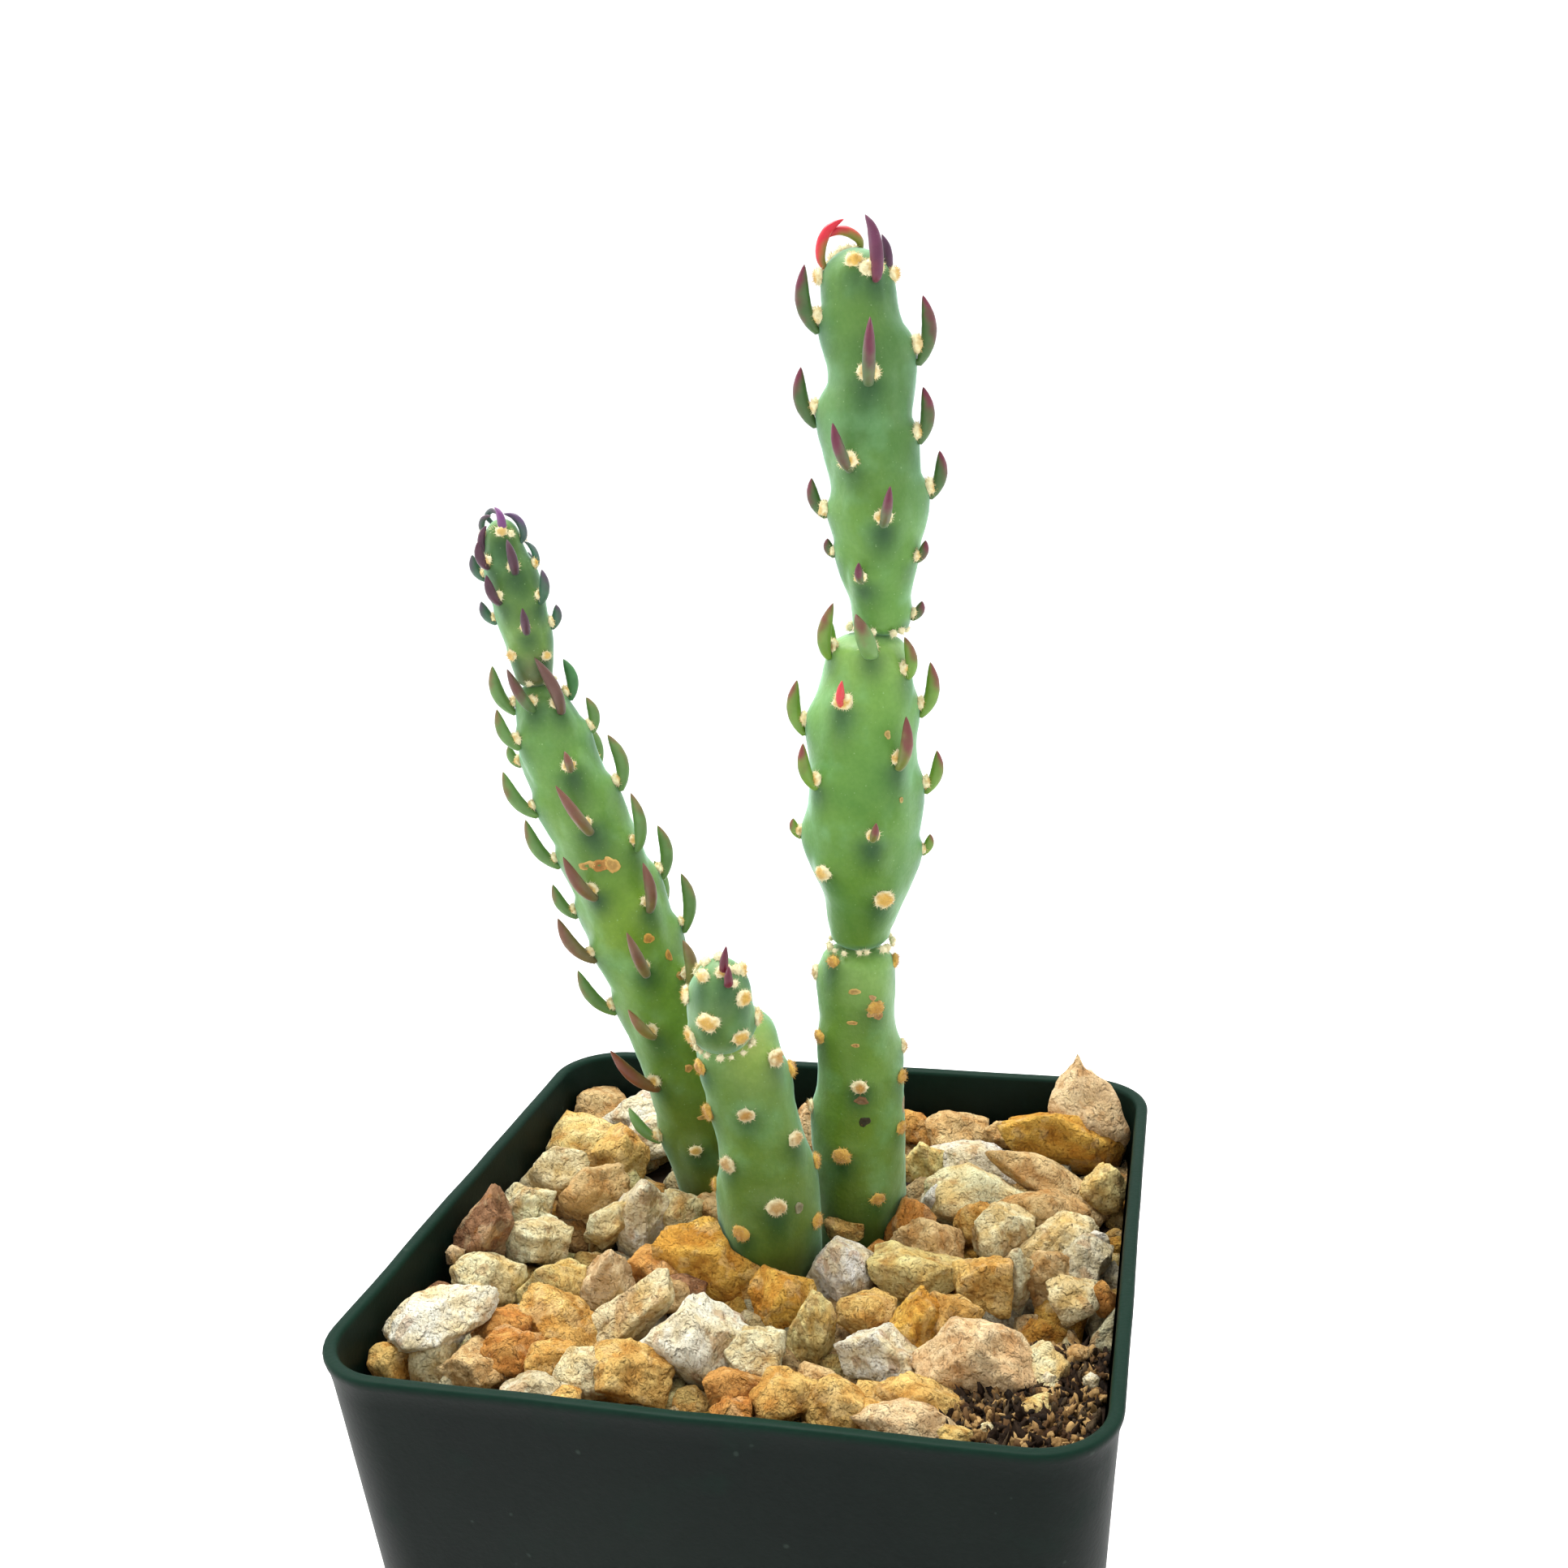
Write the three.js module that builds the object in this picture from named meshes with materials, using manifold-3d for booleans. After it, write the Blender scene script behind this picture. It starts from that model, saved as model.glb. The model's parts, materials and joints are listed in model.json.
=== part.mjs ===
import * as THREE from 'three';
import { mergeVertices } from 'three/addons/utils/BufferGeometryUtils.js';
import Module from 'manifold-3d';

// A brittle prickly pear in a square nursery pot. Millimetres, +Z up.
// The origin is the middle of the pot's foot.

const wasm = await Module();
wasm.setup();

// The pot
const potHeight = 60;
const rimWidth = 64;
const rimCornerRadius = 6.9;
const rimDepth = 1.4;
const rimOverhang = 0.3;
const wallTaper = 0.08; // how far a wall leans in for each mm down
const cornerGrowth = 0.02; // how much rounder a corner gets for each mm down
const wallThickness = 0.9;
const cornerSteps = 5;
const lipRound = 0.2; // bevel on the rim's inner edge
const lipDepth = 0.5;
const floorThickness = 1.2;
const footHeight = 2;
const footWidth = 9;
const footNotch = 26; // width of the gap between two corner feet
const footInset = 1.2; // how far the foot's edge stands in from the wall's line
const footBevel = 1.4;
const bevelMiddle = [0.5, 0.3]; // height and inset half way up the foot's bevel
const recessRadius = 5; // corners of the hollow between the feet
const recessFlare = 0.4;
const drainRadius = 3.4;
const drainOffset = 11.5;
const drainCut = 12; // long enough to pass right through the floor
const drainSides = 14;

// What fills the pot
const gap = 0.3; // room between two pieces that touch
const soilTop = 51.6;
const gravelFloor = 52.9;
const stoneLevel = 55;
const stemRoomInGravel = 0.8;
const moundCentre = [27, -21, 50.8];
const moundReach = [12.5, 14, 4.6];
const moundRoom = 1.1;
const moundRoot = 2; // how deep the heap of soil reaches into the soil below
const moundFaces = [12, 8];
const crumbCount = 9;
const crumbSeed = 11;
const crumbSpread = 0.72; // share of the heap that crumbs lie on
const crumbSizes = [0.8, 0.7]; // the smallest radius, and how much more the largest has
const crumbSink = 0.2;
const gravelHeadroom = 9; // the highest stones stand this far above the rim

// The stems: areoles, their felt cushions and their leaves
const cushionSize = [0.8, 0.7, 0.55];
const cushionRise = 0.9; // how far a cushion sits above its areole's leaf
const leafRadius = 0.68;
const leafDrop = 0.7;
const leafSides = 4;
const leafFlare = 0.21; // outward lean of a leaf, as a slope
const leafBow = 0.2; // how far a leaf bows out, as a share of its length
const bowSkew = 0.8; // moves the bow's widest place towards the root
const leafSeat = 0.15; // how far a leaf's line starts off the skin
const leafSink = 0.9; // how far its root reaches back into the joint
const leafStart = 0.15; // share of the length that the sunk root takes
const leafStations = [[-leafStart, 0.8], [0.4, 1]]; // share of the length, share of the girth
const leafGirths = { least: 0.7, start: 0.55, growth: 0.1 }; // short leaves are slimmer
const headingStep = 0.02;
const viewTurn = 14; // the side of the plant whose areoles are listed, in degrees
const tubercleWidth = 1.7;
const tubercleAbove = 1.2;
const tubercleBelow = 3.2;
const farSideRise = 1.3;
const leastSpacing = 2.6;
const viewReach = 72; // areoles this far round from the listed side get a twin, in degrees
const twinRoom = 1; // no twin grows this close to a joint's top
const endStretch = 4; // how fast the grown skin's room passes from foot to crown
const endFlat = 0.05; // share of a rounded end that is left flat at its tip

const skinGreen = '#5f8f5c';
const potGreen = '#1f3b33';
const soilBrown = '#3a2a1e';
const gravelCream = '#d8b98a';

// Each spine row is [height, x, y, radius]; each areole is [height, turn, leaf length, leaf tilt].
// A turn of 0 faces -Y and grows towards +X. A leaf length of 0 is a bare felt cushion.
const stemJoints = {
  tall_stem_lower: {
    bottom: 46,
    top: 82.2,
    roundFoot: 4,
    roundTop: 1.5,
    levels: 14,
    sides: 14,
    bump: 0.35,
    spine: [
      [46, 5.0, 9.0, 4.0],
      [54, 5.3, 9.2, 4.3],
      [58.5, 5.4, 9.3, 4.35],
      [63, 5.4, 9.3, 4.35],
      [67, 5.6, 9.3, 4.1],
      [71, 5.7, 9.4, 3.85],
      [75, 5.7, 9.4, 3.55],
      [79, 5.8, 9.4, 3.5],
      [82, 6.1, 9.5, 3.1],
    ],
    areoles: [
      [81.0, -33, 0, 0],
      [79.2, -80, 0, 0],
      [80.8, 100, 0, 0],
      [77.2, 38, 0, 0],
      [73.8, -52, 0, 0],
      [71.8, 102, 0, 0],
      [69.6, 12, 0, 0],
      [69.6, 79, 0, 0],
      [66.0, -72, 0, 0],
      [64.9, 71, 0, 0],
      [62.9, -8, 0, 0],
      [58.4, 32, 0, 0],
    ],
  },
  tall_stem_middle: {
    bottom: 81.8,
    top: 111.3,
    roundFoot: 1.4,
    roundTop: 1.4,
    levels: 14,
    sides: 14,
    bump: 0.5,
    spine: [
      [82.5, 6.3, 9.5, 2.6],
      [84, 6.3, 9.5, 2.9],
      [86.2, 6.6, 9.6, 3.5],
      [88.3, 6.8, 9.6, 4.2],
      [90.5, 6.8, 9.6, 4.8],
      [93, 6.8, 9.6, 5.1],
      [96, 7.1, 9.7, 5.0],
      [100, 7.2, 9.7, 4.75],
      [103, 7.2, 9.7, 4.7],
      [106, 7.6, 9.8, 4.2],
      [109, 7.7, 9.8, 3.6],
      [110.8, 7.6, 9.8, 3.2],
    ],
    areoles: [
      [110.2, 18, 3.8, -15],
      [110.3, -52, 4.8, 12],
      [108.2, 68, 3.6, -8],
      [105.6, -14, 2.3, -3],
      [105.2, 96, 4.8, 0],
      [103.0, -78, 4.8, 0],
      [100.6, 46, 4.7, 4],
      [98.6, -43, 4.1, -6],
      [97.4, 98, 3.8, 0],
      [94.0, 20, 1.5, 3],
      [92.8, -78, 1.5, 0],
      [91.0, 98, 1.6, 0],
      [90.4, -32, 0, 0],
      [88.0, 34, 0, 0],
    ],
  },
  tall_stem_upper: {
    bottom: 110.9,
    top: 143.7,
    roundFoot: 1,
    roundTop: 2.4,
    levels: 16,
    sides: 14,
    bump: 0.5,
    spine: [
      [111.2, 8.7, 10.1, 2.2],
      [114, 9.0, 10.2, 2.6],
      [117, 9.0, 10.2, 3.15],
      [119.5, 9.1, 10.2, 3.7],
      [122, 9.1, 10.2, 4.05],
      [125, 8.9, 10.2, 3.85],
      [127.5, 8.6, 10.1, 3.9],
      [130, 8.4, 10.0, 3.85],
      [132.5, 8.8, 10.1, 3.65],
      [135, 8.8, 10.1, 3.65],
      [137, 8.3, 10.0, 3.4],
      [139.5, 8.1, 10.0, 3.0],
      [142.5, 7.9, 9.9, 2.7],
    ],
    areoles: [
      [142.4, 10, 2.6, -35],
      [141.7, 42, 5.1, -8],
      [141.0, 84, 3.6, 0],
      [141.5, -75, 4.2, 18],
      [138.3, -66, 5.4, 8],
      [134.8, 88, 5.4, 0],
      [133.4, 9, 5.3, -2],
      [130.2, -78, 4.9, 0],
      [127.8, 82, 4.4, 4],
      [126.6, -15, 4.1, -6],
      [123.2, 99, 3.8, 4],
      [122.2, -77, 3.3, -2],
      [121.5, 16, 3.3, 10],
      [118.2, -74, 1.0, 0],
      [118.0, 69, 1.5, 10],
      [116.4, -15, 1.5, 6],
      [112.9, 97, 1.2, 0],
    ],
  },
  left_stem_lower: {
    bottom: 48,
    top: 106.8,
    roundFoot: 5,
    roundTop: 1.2,
    levels: 25,
    sides: 12,
    bump: 0.5,
    spine: [
      [48, -9.2, 13.3, 3.6],
      [55, -10.2, 13.0, 3.9],
      [60, -11.2, 12.8, 4.0],
      [66.5, -12.5, 12.5, 4.0],
      [71, -13.6, 12.2, 3.95],
      [76.5, -15.1, 11.8, 3.95],
      [82, -16.7, 11.4, 4.15],
      [87.5, -18.3, 11.1, 3.85],
      [91.5, -19.5, 10.8, 3.75],
      [95.6, -21.0, 10.3, 3.65],
      [99.1, -22.1, 10.0, 3.25],
      [102.3, -22.9, 9.8, 3.0],
      [104.9, -23.5, 9.7, 2.3],
      [106.3, -23.8, 9.6, 1.8],
    ],
    areoles: [
      [105.4, -70, 4.8, 6],
      [105.4, 4, 4.2, -18],
      [104.6, 56, 5.5, -7],
      [105.0, 114, 3.7, 4],
      [102.4, -40, 4.0, -6],
      [101.3, 114, 3.3, 0],
      [100.2, -76, 2.2, 0],
      [99.0, 34, 1.9, 2],
      [96.5, -50, 5.0, -8],
      [95.4, 106, 5.2, 4],
      [93.8, 24, 5.7, -8],
      [91.0, -66, 5.3, -6],
      [90.4, 73, 5.4, 6],
      [87.8, -5, 5.0, -8],
      [86.4, 115, 4.9, 4],
      [85.6, -70, 3.7, -4],
      [84.9, 54, 4.8, 4],
      [81.8, -45, 5.2, -8],
      [81.0, 108, 5.4, 4],
      [79.6, 22, 5.0, -2],
      [75.9, 93, 4.3, 4],
      [75.9, -62, 5.3, -4],
      [73.4, 2, 3.7, -16],
      [71.1, 58, 0, 0],
      [68.2, -19, 5.2, -26],
      [64.8, 62, 0, 0],
      [61.8, -50, 3.5, -36],
      [60.6, 8, 0, 0],
    ],
  },
  left_stem_upper: {
    bottom: 106.3,
    top: 122.1,
    roundFoot: 1,
    roundTop: 1.8,
    levels: 9,
    sides: 9,
    bump: 0.25,
    spine: [
      [106.6, -23.9, 9.6, 1.5],
      [109, -23.9, 9.6, 1.9],
      [111.5, -24.2, 9.5, 2.1],
      [115, -24.8, 9.3, 2.35],
      [117, -25.2, 9.3, 2.2],
      [119.4, -25.6, 9.1, 1.75],
      [120.8, -25.6, 9.1, 1.5],
    ],
    areoles: [
      [120.9, 20, 2.4, -6],
      [120.5, -66, 2.4, 15],
      [120.1, 105, 2.6, -16],
      [118.6, -30, 2.5, 4],
      [117.7, 34, 3.1, 0],
      [117.3, 98, 2.5, -4],
      [117.5, -76, 2.4, 0],
      [115.3, -16, 2.8, 2],
      [114.5, 72, 2.9, 6],
      [113.4, -70, 2.2, -4],
      [112.2, 24, 2.4, 4],
      [111.8, 103, 2.0, 4],
      [109.9, -30, 0, 0],
      [109.4, 60, 0, 0],
    ],
  },
  small_stem_lower: {
    bottom: 47,
    top: 79.0,
    roundFoot: 4.5,
    roundTop: 3.2,
    levels: 13,
    sides: 14,
    bump: 0.35,
    spine: [
      [47, -1.5, 0.6, 4.2],
      [52, -1.5, 0.6, 4.6],
      [56, -1.5, 0.8, 4.7],
      [60, -1.5, 0.9, 4.55],
      [63.3, -1.7, 1.1, 4.25],
      [66, -2.0, 1.1, 3.9],
      [69, -2.5, 1.1, 3.75],
      [72, -3.1, 1.1, 3.8],
      [74, -3.5, 1.1, 3.75],
      [77.6, -3.9, 1.2, 3.5],
    ],
    areoles: [
      [76.2, -76, 0, 0],
      [74.4, -45, 0, 0],
      [74.1, 69, 0, 0],
      [71.7, 108, 0, 0],
      [70.1, 9, 0, 0],
      [70.1, -58, 0, 0],
      [66.5, 65, 0, 0],
      [65.4, -31, 0, 0],
      [63.1, 107, 0, 0],
      [61.9, -76, 0, 0],
      [61.2, 24, 0, 0],
      [58.8, 76, 0, 0],
      [58.9, -16, 0, 0],
    ],
  },
  small_stem_upper: {
    bottom: 76.2,
    top: 85.3,
    roundFoot: 3,
    roundTop: 3,
    levels: 7,
    sides: 12,
    bump: 0.25,
    spine: [
      [76.2, -3.7, -2.7, 2.5],
      [78, -3.7, -3.0, 2.75],
      [80.5, -3.6, -3.6, 2.8],
      [82.3, -3.5, -3.8, 2.65],
      [85, -3.4, -3.8, 2.3],
    ],
    areoles: [
      [84.4, 27, 1.8, 0],
      [84.0, -30, 1.4, 0],
      [84.2, 100, 0, 0],
      [82.0, -74, 0, 0],
      [82.4, 60, 0, 0],
      [80.9, -6, 0, 0],
      [79.5, 104, 0, 0],
      [79.3, 46, 0, 0],
      [78.9, -52, 0, 0],
      [77.9, 18, 0, 0],
    ],
  },
};

// Which joint grows on top of which
const carried = {
  tall_stem_lower: 'tall_stem_middle',
  tall_stem_middle: 'tall_stem_upper',
  left_stem_lower: 'left_stem_upper',
  small_stem_lower: 'small_stem_upper',
};
const plantedJoints = ['tall_stem_lower', 'left_stem_lower', 'small_stem_lower'];

// Each stone that shows is [x, y, width, height, roll in degrees, lift]
const shownStones = [
  [-27.5, -15, 11, 5, -18, 0.6],
  [-28.2, -22.5, 4.4, 4, 10, 0],
  [-24.8, -21.8, 4.2, 5, 0, 0],
  [-21.8, -22, 7, 4.4, 0, 0],
  [-18.6, -20.3, 5, 6, -20, 0],
  [-21, -16.3, 5.4, 4.4, -10, 0],
  [-16.2, -15, 6.8, 5.2, 10, 0],
  [-19, -9, 7.2, 6.6, 0, 0],
  [-25.8, -9, 6.4, 5.2, 10, 0],
  [-28.8, -4, 11, 4.6, -62, 0.6],
  [-27.5, 4.5, 5.4, 4.6, 0, 0],
  [-25.2, -1, 8.2, 5, 0, 0],
  [-21.6, 7.5, 7.2, 7, -15, 0],
  [-27, 11.5, 6.8, 6, 0, 0],
  [-26.3, 18.2, 8, 6, -8, 0],
  [-22, 16.2, 6, 6, 20, 0],
  [-27.6, 26.8, 7, 4.6, 0, 0],
  [-21, 26.4, 13, 5.2, -14, 0.2],
  [-19.8, 21.6, 6.4, 4.4, 12, 0],
  [-15.5, 3.8, 5.6, 8.6, 10, 0],
  [-11.2, 4.8, 5, 5, 0, 0],
  [-9, 7, 4, 3.4, 0, 0],
  [-18.2, 2.6, 5.4, 3.2, -40, 0],
  [-14.4, -8.5, 5, 8.6, 8, 0],
  [-10.6, -4.2, 7, 4.4, 0, -0.6],
  [-6.2, -2.4, 10, 6.4, 32, 0],
  [-8.2, -6.4, 4.4, 3, 10, -0.6],
  [-11.4, -13, 12, 4, -42, 0],
  [-4, -16.5, 8.2, 8.6, 8, 0],
  [-15.3, -20, 4.4, 3, 0, 0],
  [-11.8, -21.6, 4.2, 4.6, 0, 0],
  [-8, -21.2, 6.4, 5, 10, 0],
  [-15, -24.2, 6, 3, 5, 0],
  [-8.4, -8.6, 3.4, 3.2, 0, 0],
  [-13, 19.5, 5, 5, 20, 0],
  [2, -8, 5.6, 6.4, 0, 0],
  [6, -2.2, 6.8, 8, 0, 0],
  [5.4, -12, 3.6, 7.4, 8, 0],
  [12.8, -2, 9, 4.2, 6, 0.4],
  [13.6, 3, 6.6, 5.6, 10, 0],
  [10.4, 6.4, 5, 4.6, 0, 0],
  [1.2, -16.4, 5.4, 4.8, -20, 0.2],
  [1, -20.6, 5.6, 3, 20, 0],
  [5.4, -22, 5.6, 4.2, 0, 0],
  [1.4, -24.4, 3.4, 2.6, 0, 0],
  [9.2, -22, 5, 4.6, 0, 0],
  [11.3, -14.6, 6.4, 4.8, 15, 0.2],
  [9.6, -9, 4.8, 4.2, 0, 0],
  [13.4, -11, 5, 7.4, 10, 0],
  [16.6, -10, 5.4, 6.4, 0, 0],
  [19.6, -15, 9.6, 7.4, -10, 0.4],
  [24.6, -15.4, 5.2, 4, -48, 0],
  [15.6, -19.4, 6.8, 3, 15, 0],
  [15.4, -23.2, 7.8, 3, 5, 0],
  [18.6, -2.6, 5.2, 6.4, 25, 0],
  [21, -1.6, 3.6, 7, 8, 0],
  [24.2, 0.4, 5, 5.2, 0, 0],
  [26.8, 1.8, 5.6, 4.8, 0, 0],
  [24.6, 6.4, 7.2, 4, 0, 0],
  [27, -4, 4.6, 3.4, 0, 0.3],
  [19.6, 6.8, 5.6, 5, 0, 0],
  [22.6, 11.6, 8.2, 4.8, 14, 0],
  [23.4, 16, 13.5, 3.2, 31, 0.3],
  [27.8, 17, 4, 5.2, 20, 0],
  [16, 12.6, 9, 5.6, 14, 0],
  [12.6, 12.2, 4, 3.4, 0, 0],
  [15, 20.4, 8.6, 4.4, 14, 0],
  [10.4, 19.4, 4, 5, 0, 0],
  [12, 26.8, 7.2, 4.8, 0, 0],
  [7.6, 27, 4, 4.4, 0, 0],
  [17, 26.6, 4, 3.6, 0, 0],
  [23.2, 24.6, 12.6, 6.6, 14, 1.2],
  [16.6, 8.2, 4, 4.4, 0, 0],
  [-3.4, 24, 5, 6, 0, 0],
  [-9, 26, 6, 5, 0, 0],
  [2, 21, 6, 4.6, 0, 0],
];
const spireStone = [25.8, 27, 7.4, 9.6, 0, 4.4];
const spireTaper = 0.86;
const stoneFacets = 9;
const facetStep = 2.4; // radians from one facet to the next
const facetShift = 1.2; // seeded shift of a facet round the stone
const facetRange = [0.62, 0.34]; // the nearest facet's distance, and how much more the farthest has
const facetLean = 0.3; // facets that face away from a corner this much don't cut it
const stoneReach = 1.12;
const stoneFill = 1.3; // makes up for what the facets take off
const stoneDepth = { width: 0.9, height: 1.1, more: 1, most: 7 };
const depthShown = 0.2; // share of a stone's depth that the view from above adds to its height
const leastRise = 2;
const stoneSpread = 30; // seeded turn of a stone, in degrees
const tumble = 54.7; // brings a face of a small stone to the top
const stoneSink = 0.9; // how far the lowest stones reach into the gravel's floor
const smallStone = 5.7; // narrower stones are made with fewer faces
const fillerReach = 27.5;
const fillerSpacing = 5.5;
const fillerRoom = 4.6;
const fillerLevel = 53.9;
const fillerSeed = 4;
const fillerShift = 2.4;
const fillerWidths = [4, 2.4];
const fillerHeight = 4.6;
const fillerRoll = 40;
const fillerStoneSeed = 500;
const spireSeed = 90;

// A small seeded source of numbers from 0 to 1
function makeRandom(seed) {
  let state = (seed * 7919 + 12345) >>> 0;
  return () => {
    state = (Math.imul(state, 1664525) + 1013904223) >>> 0;
    return state / 4294967296;
  };
}

function radians(degrees) {
  return (degrees * Math.PI) / 180;
}

function clamp(value, low, high) {
  return Math.min(Math.max(value, low), high);
}

// Solids from geometries and back
function solidOf(geometry) {
  const bare = geometry.clone();
  bare.deleteAttribute('normal');
  bare.deleteAttribute('uv');
  const merged = mergeVertices(bare, 1e-5);
  const vertProperties = new Float32Array(merged.attributes.position.array);
  const triVerts = new Uint32Array(merged.index.array);
  return new wasm.Manifold(new wasm.Mesh({ numProp: 3, vertProperties, triVerts }));
}

function geometryOf(solid) {
  const mesh = solid.getMesh();
  const geometry = new THREE.BufferGeometry();
  geometry.setAttribute('position', new THREE.BufferAttribute(mesh.vertProperties, 3));
  geometry.setIndex(new THREE.BufferAttribute(mesh.triVerts, 1));
  return geometry;
}

// Joins solids, fills any hollow that the join seals and drops loose scraps
function fuse(solids) {
  const joined = wasm.Manifold.union(solids);
  return largest(joined);
}

function largest(solid) {
  return solid.decompose().reduce((a, b) => (b.volume() > a.volume() ? b : a));
}

// A closed body through rings of points, each ring counterclockwise seen from its end.
// The last ring closes on the tip, or on its own middle where no tip is given.
function loft(rings, tip) {
  const count = rings[0].length;
  const points = rings.flat();
  const faces = [];
  for (let level = 0; level < rings.length - 1; level += 1) {
    for (let i = 0; i < count; i += 1) {
      const a = level * count + i;
      const b = level * count + ((i + 1) % count);
      faces.push(a, b, b + count, a, b + count, a + count);
    }
  }
  const lastStart = (rings.length - 1) * count;
  const firstMiddle = points.length;
  points.push(middleOf(rings[0]), tip ?? middleOf(rings[rings.length - 1]));
  for (let i = 0; i < count; i += 1) {
    const next = (i + 1) % count;
    faces.push(firstMiddle, next, i);
    faces.push(firstMiddle + 1, lastStart + i, lastStart + next);
  }
  const geometry = new THREE.BufferGeometry().setFromPoints(points);
  geometry.setIndex(faces);
  return geometry;
}

function middleOf(ring) {
  const sum = ring.reduce((total, point) => total.add(point), new THREE.Vector3());
  return sum.divideScalar(ring.length);
}

// The pot's plan at a height, moved in or out by an offset
function roundedSquare(half, radius, height) {
  const points = [];
  const inset = half - radius;
  const corners = [[1, 1], [-1, 1], [-1, -1], [1, -1]];
  corners.forEach(([sideX, sideY], quarter) => {
    for (let i = 0; i <= cornerSteps; i += 1) {
      const angle = ((quarter + i / cornerSteps) * Math.PI) / 2;
      const x = sideX * inset + radius * Math.cos(angle);
      const y = sideY * inset + radius * Math.sin(angle);
      points.push(new THREE.Vector3(x, y, height));
    }
  });
  return points;
}

function potPlan(height, offset) {
  const depth = potHeight - height;
  const half = rimWidth / 2 - rimOverhang - wallTaper * depth + offset;
  const radius = rimCornerRadius - rimOverhang + cornerGrowth * depth + offset;
  return roundedSquare(half, radius, height);
}

function buildPot() {
  const floorTop = footHeight + floorThickness;
  const footHalf = rimWidth / 2 - wallTaper * potHeight - footWidth;
  const rings = [
    roundedSquare(footHalf, recessRadius, footHeight),
    roundedSquare(footHalf + recessFlare, recessRadius + recessFlare, 0),
    potPlan(0, -footInset),
    potPlan(bevelMiddle[0], -bevelMiddle[1]),
    potPlan(footBevel, 0),
    potPlan(potHeight / 2, 0),
    potPlan(potHeight - rimDepth - rimOverhang, 0),
    potPlan(potHeight - rimDepth, rimOverhang),
    potPlan(potHeight - rimOverhang, rimOverhang),
    potPlan(potHeight, 0),
    potPlan(potHeight, lipRound - wallThickness),
    potPlan(potHeight - lipDepth, -wallThickness),
    potPlan(potHeight / 2, -wallThickness),
    potPlan(floorTop, -wallThickness),
  ];
  const notch = new THREE.BoxGeometry(rimWidth, footNotch, footHeight * 2);
  const drain = new THREE.CylinderGeometry(drainRadius, drainRadius, drainCut, drainSides);
  drain.rotateX(Math.PI / 2);
  let pot = solidOf(loft(rings));
  pot = pot.subtract(solidOf(notch));
  pot = pot.subtract(solidOf(notch.clone().rotateZ(Math.PI / 2)));
  const places = [[0, 0], [1, 1], [-1, 1], [-1, -1], [1, -1]];
  for (const [sideX, sideY] of places) {
    const hole = drain.clone().translate(sideX * drainOffset, sideY * drainOffset, footHeight);
    pot = pot.subtract(solidOf(hole));
  }
  return pot;
}

// Smooth value of one column of a spine at a height
function along(spine, height, column) {
  const last = spine.length - 1;
  let k = 1;
  while (k < last && spine[k][0] < height) {
    k += 1;
  }
  const low = spine[k - 1];
  const high = spine[k];
  const before = spine[Math.max(k - 2, 0)];
  const after = spine[Math.min(k + 1, last)];
  const span = high[0] - low[0];
  const t = clamp((height - low[0]) / span, 0, 1);
  const slopeLow = ((high[column] - before[column]) / (high[0] - before[0])) * span;
  const slopeHigh = ((after[column] - low[column]) / (after[0] - low[0])) * span;
  const rise = t * t * (3 - 2 * t);
  const lead = t * (1 - t) * (1 - t);
  const trail = t * t * (t - 1);
  return low[column] + (high[column] - low[column]) * rise + slopeLow * lead + slopeHigh * trail;
}

function spineFrame(joint, height) {
  const at = (z) => new THREE.Vector3(along(joint.spine, z, 1), along(joint.spine, z, 2), z);
  const up = at(height + 1).sub(at(height - 1)).normalize();
  const right = new THREE.Vector3(1, 0, 0).addScaledVector(up, -up.x).normalize();
  const back = new THREE.Vector3().crossVectors(up, right);
  return { centre: at(height), up, right, back };
}

function outwardAt(frame, turn) {
  const outward = frame.right.clone().multiplyScalar(Math.sin(radians(turn)));
  return outward.addScaledVector(frame.back, -Math.cos(radians(turn)));
}

function turnBetween(a, b) {
  return THREE.MathUtils.euclideanModulo(a - b + 180, 360) - 180;
}

// A joint's radius: its listed body, rounded ends and the low tubercle under each areole
function radiusAt(joint, height, turn) {
  const foot = clamp((height - joint.bottom) / joint.roundFoot, endFlat, 1);
  const crown = clamp((joint.top - height) / joint.roundTop, endFlat, 1);
  const ends = Math.sqrt((1 - (1 - foot) ** 2) * (1 - (1 - crown) ** 2));
  const body = along(joint.spine, height, 3) * ends;
  let bump = 0;
  for (const [areoleHeight, areoleTurn] of joint.places) {
    const rise = height - areoleHeight;
    const reach = rise > 0 ? tubercleAbove : tubercleBelow;
    const around = radians(turnBetween(turn, areoleTurn)) * body;
    bump = Math.max(bump, Math.exp(-((around / tubercleWidth) ** 2) - (rise / reach) ** 2));
  }
  return body + joint.bump * bump * ends;
}

// The listed areoles, and their like on the far side where there is room
function allAreoles(joint) {
  const places = joint.areoles.map((areole) => [...areole]);
  for (const [height, turn, leaf, tilt] of joint.areoles) {
    const twin = [height + farSideRise, turn + 180, leaf, -tilt];
    const girth = along(joint.spine, height, 3);
    const fits = places.every(([otherHeight, otherTurn]) => {
      const around = radians(turnBetween(twin[1], otherTurn)) * girth;
      return Math.hypot(around, twin[0] - otherHeight) > leastSpacing;
    });
    const isSeen = Math.abs(turnBetween(turn, viewTurn)) < viewReach;
    if (fits && isSeen && twin[0] < joint.top - twinRoom) {
      places.push(twin);
    }
  }
  return places;
}

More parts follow.
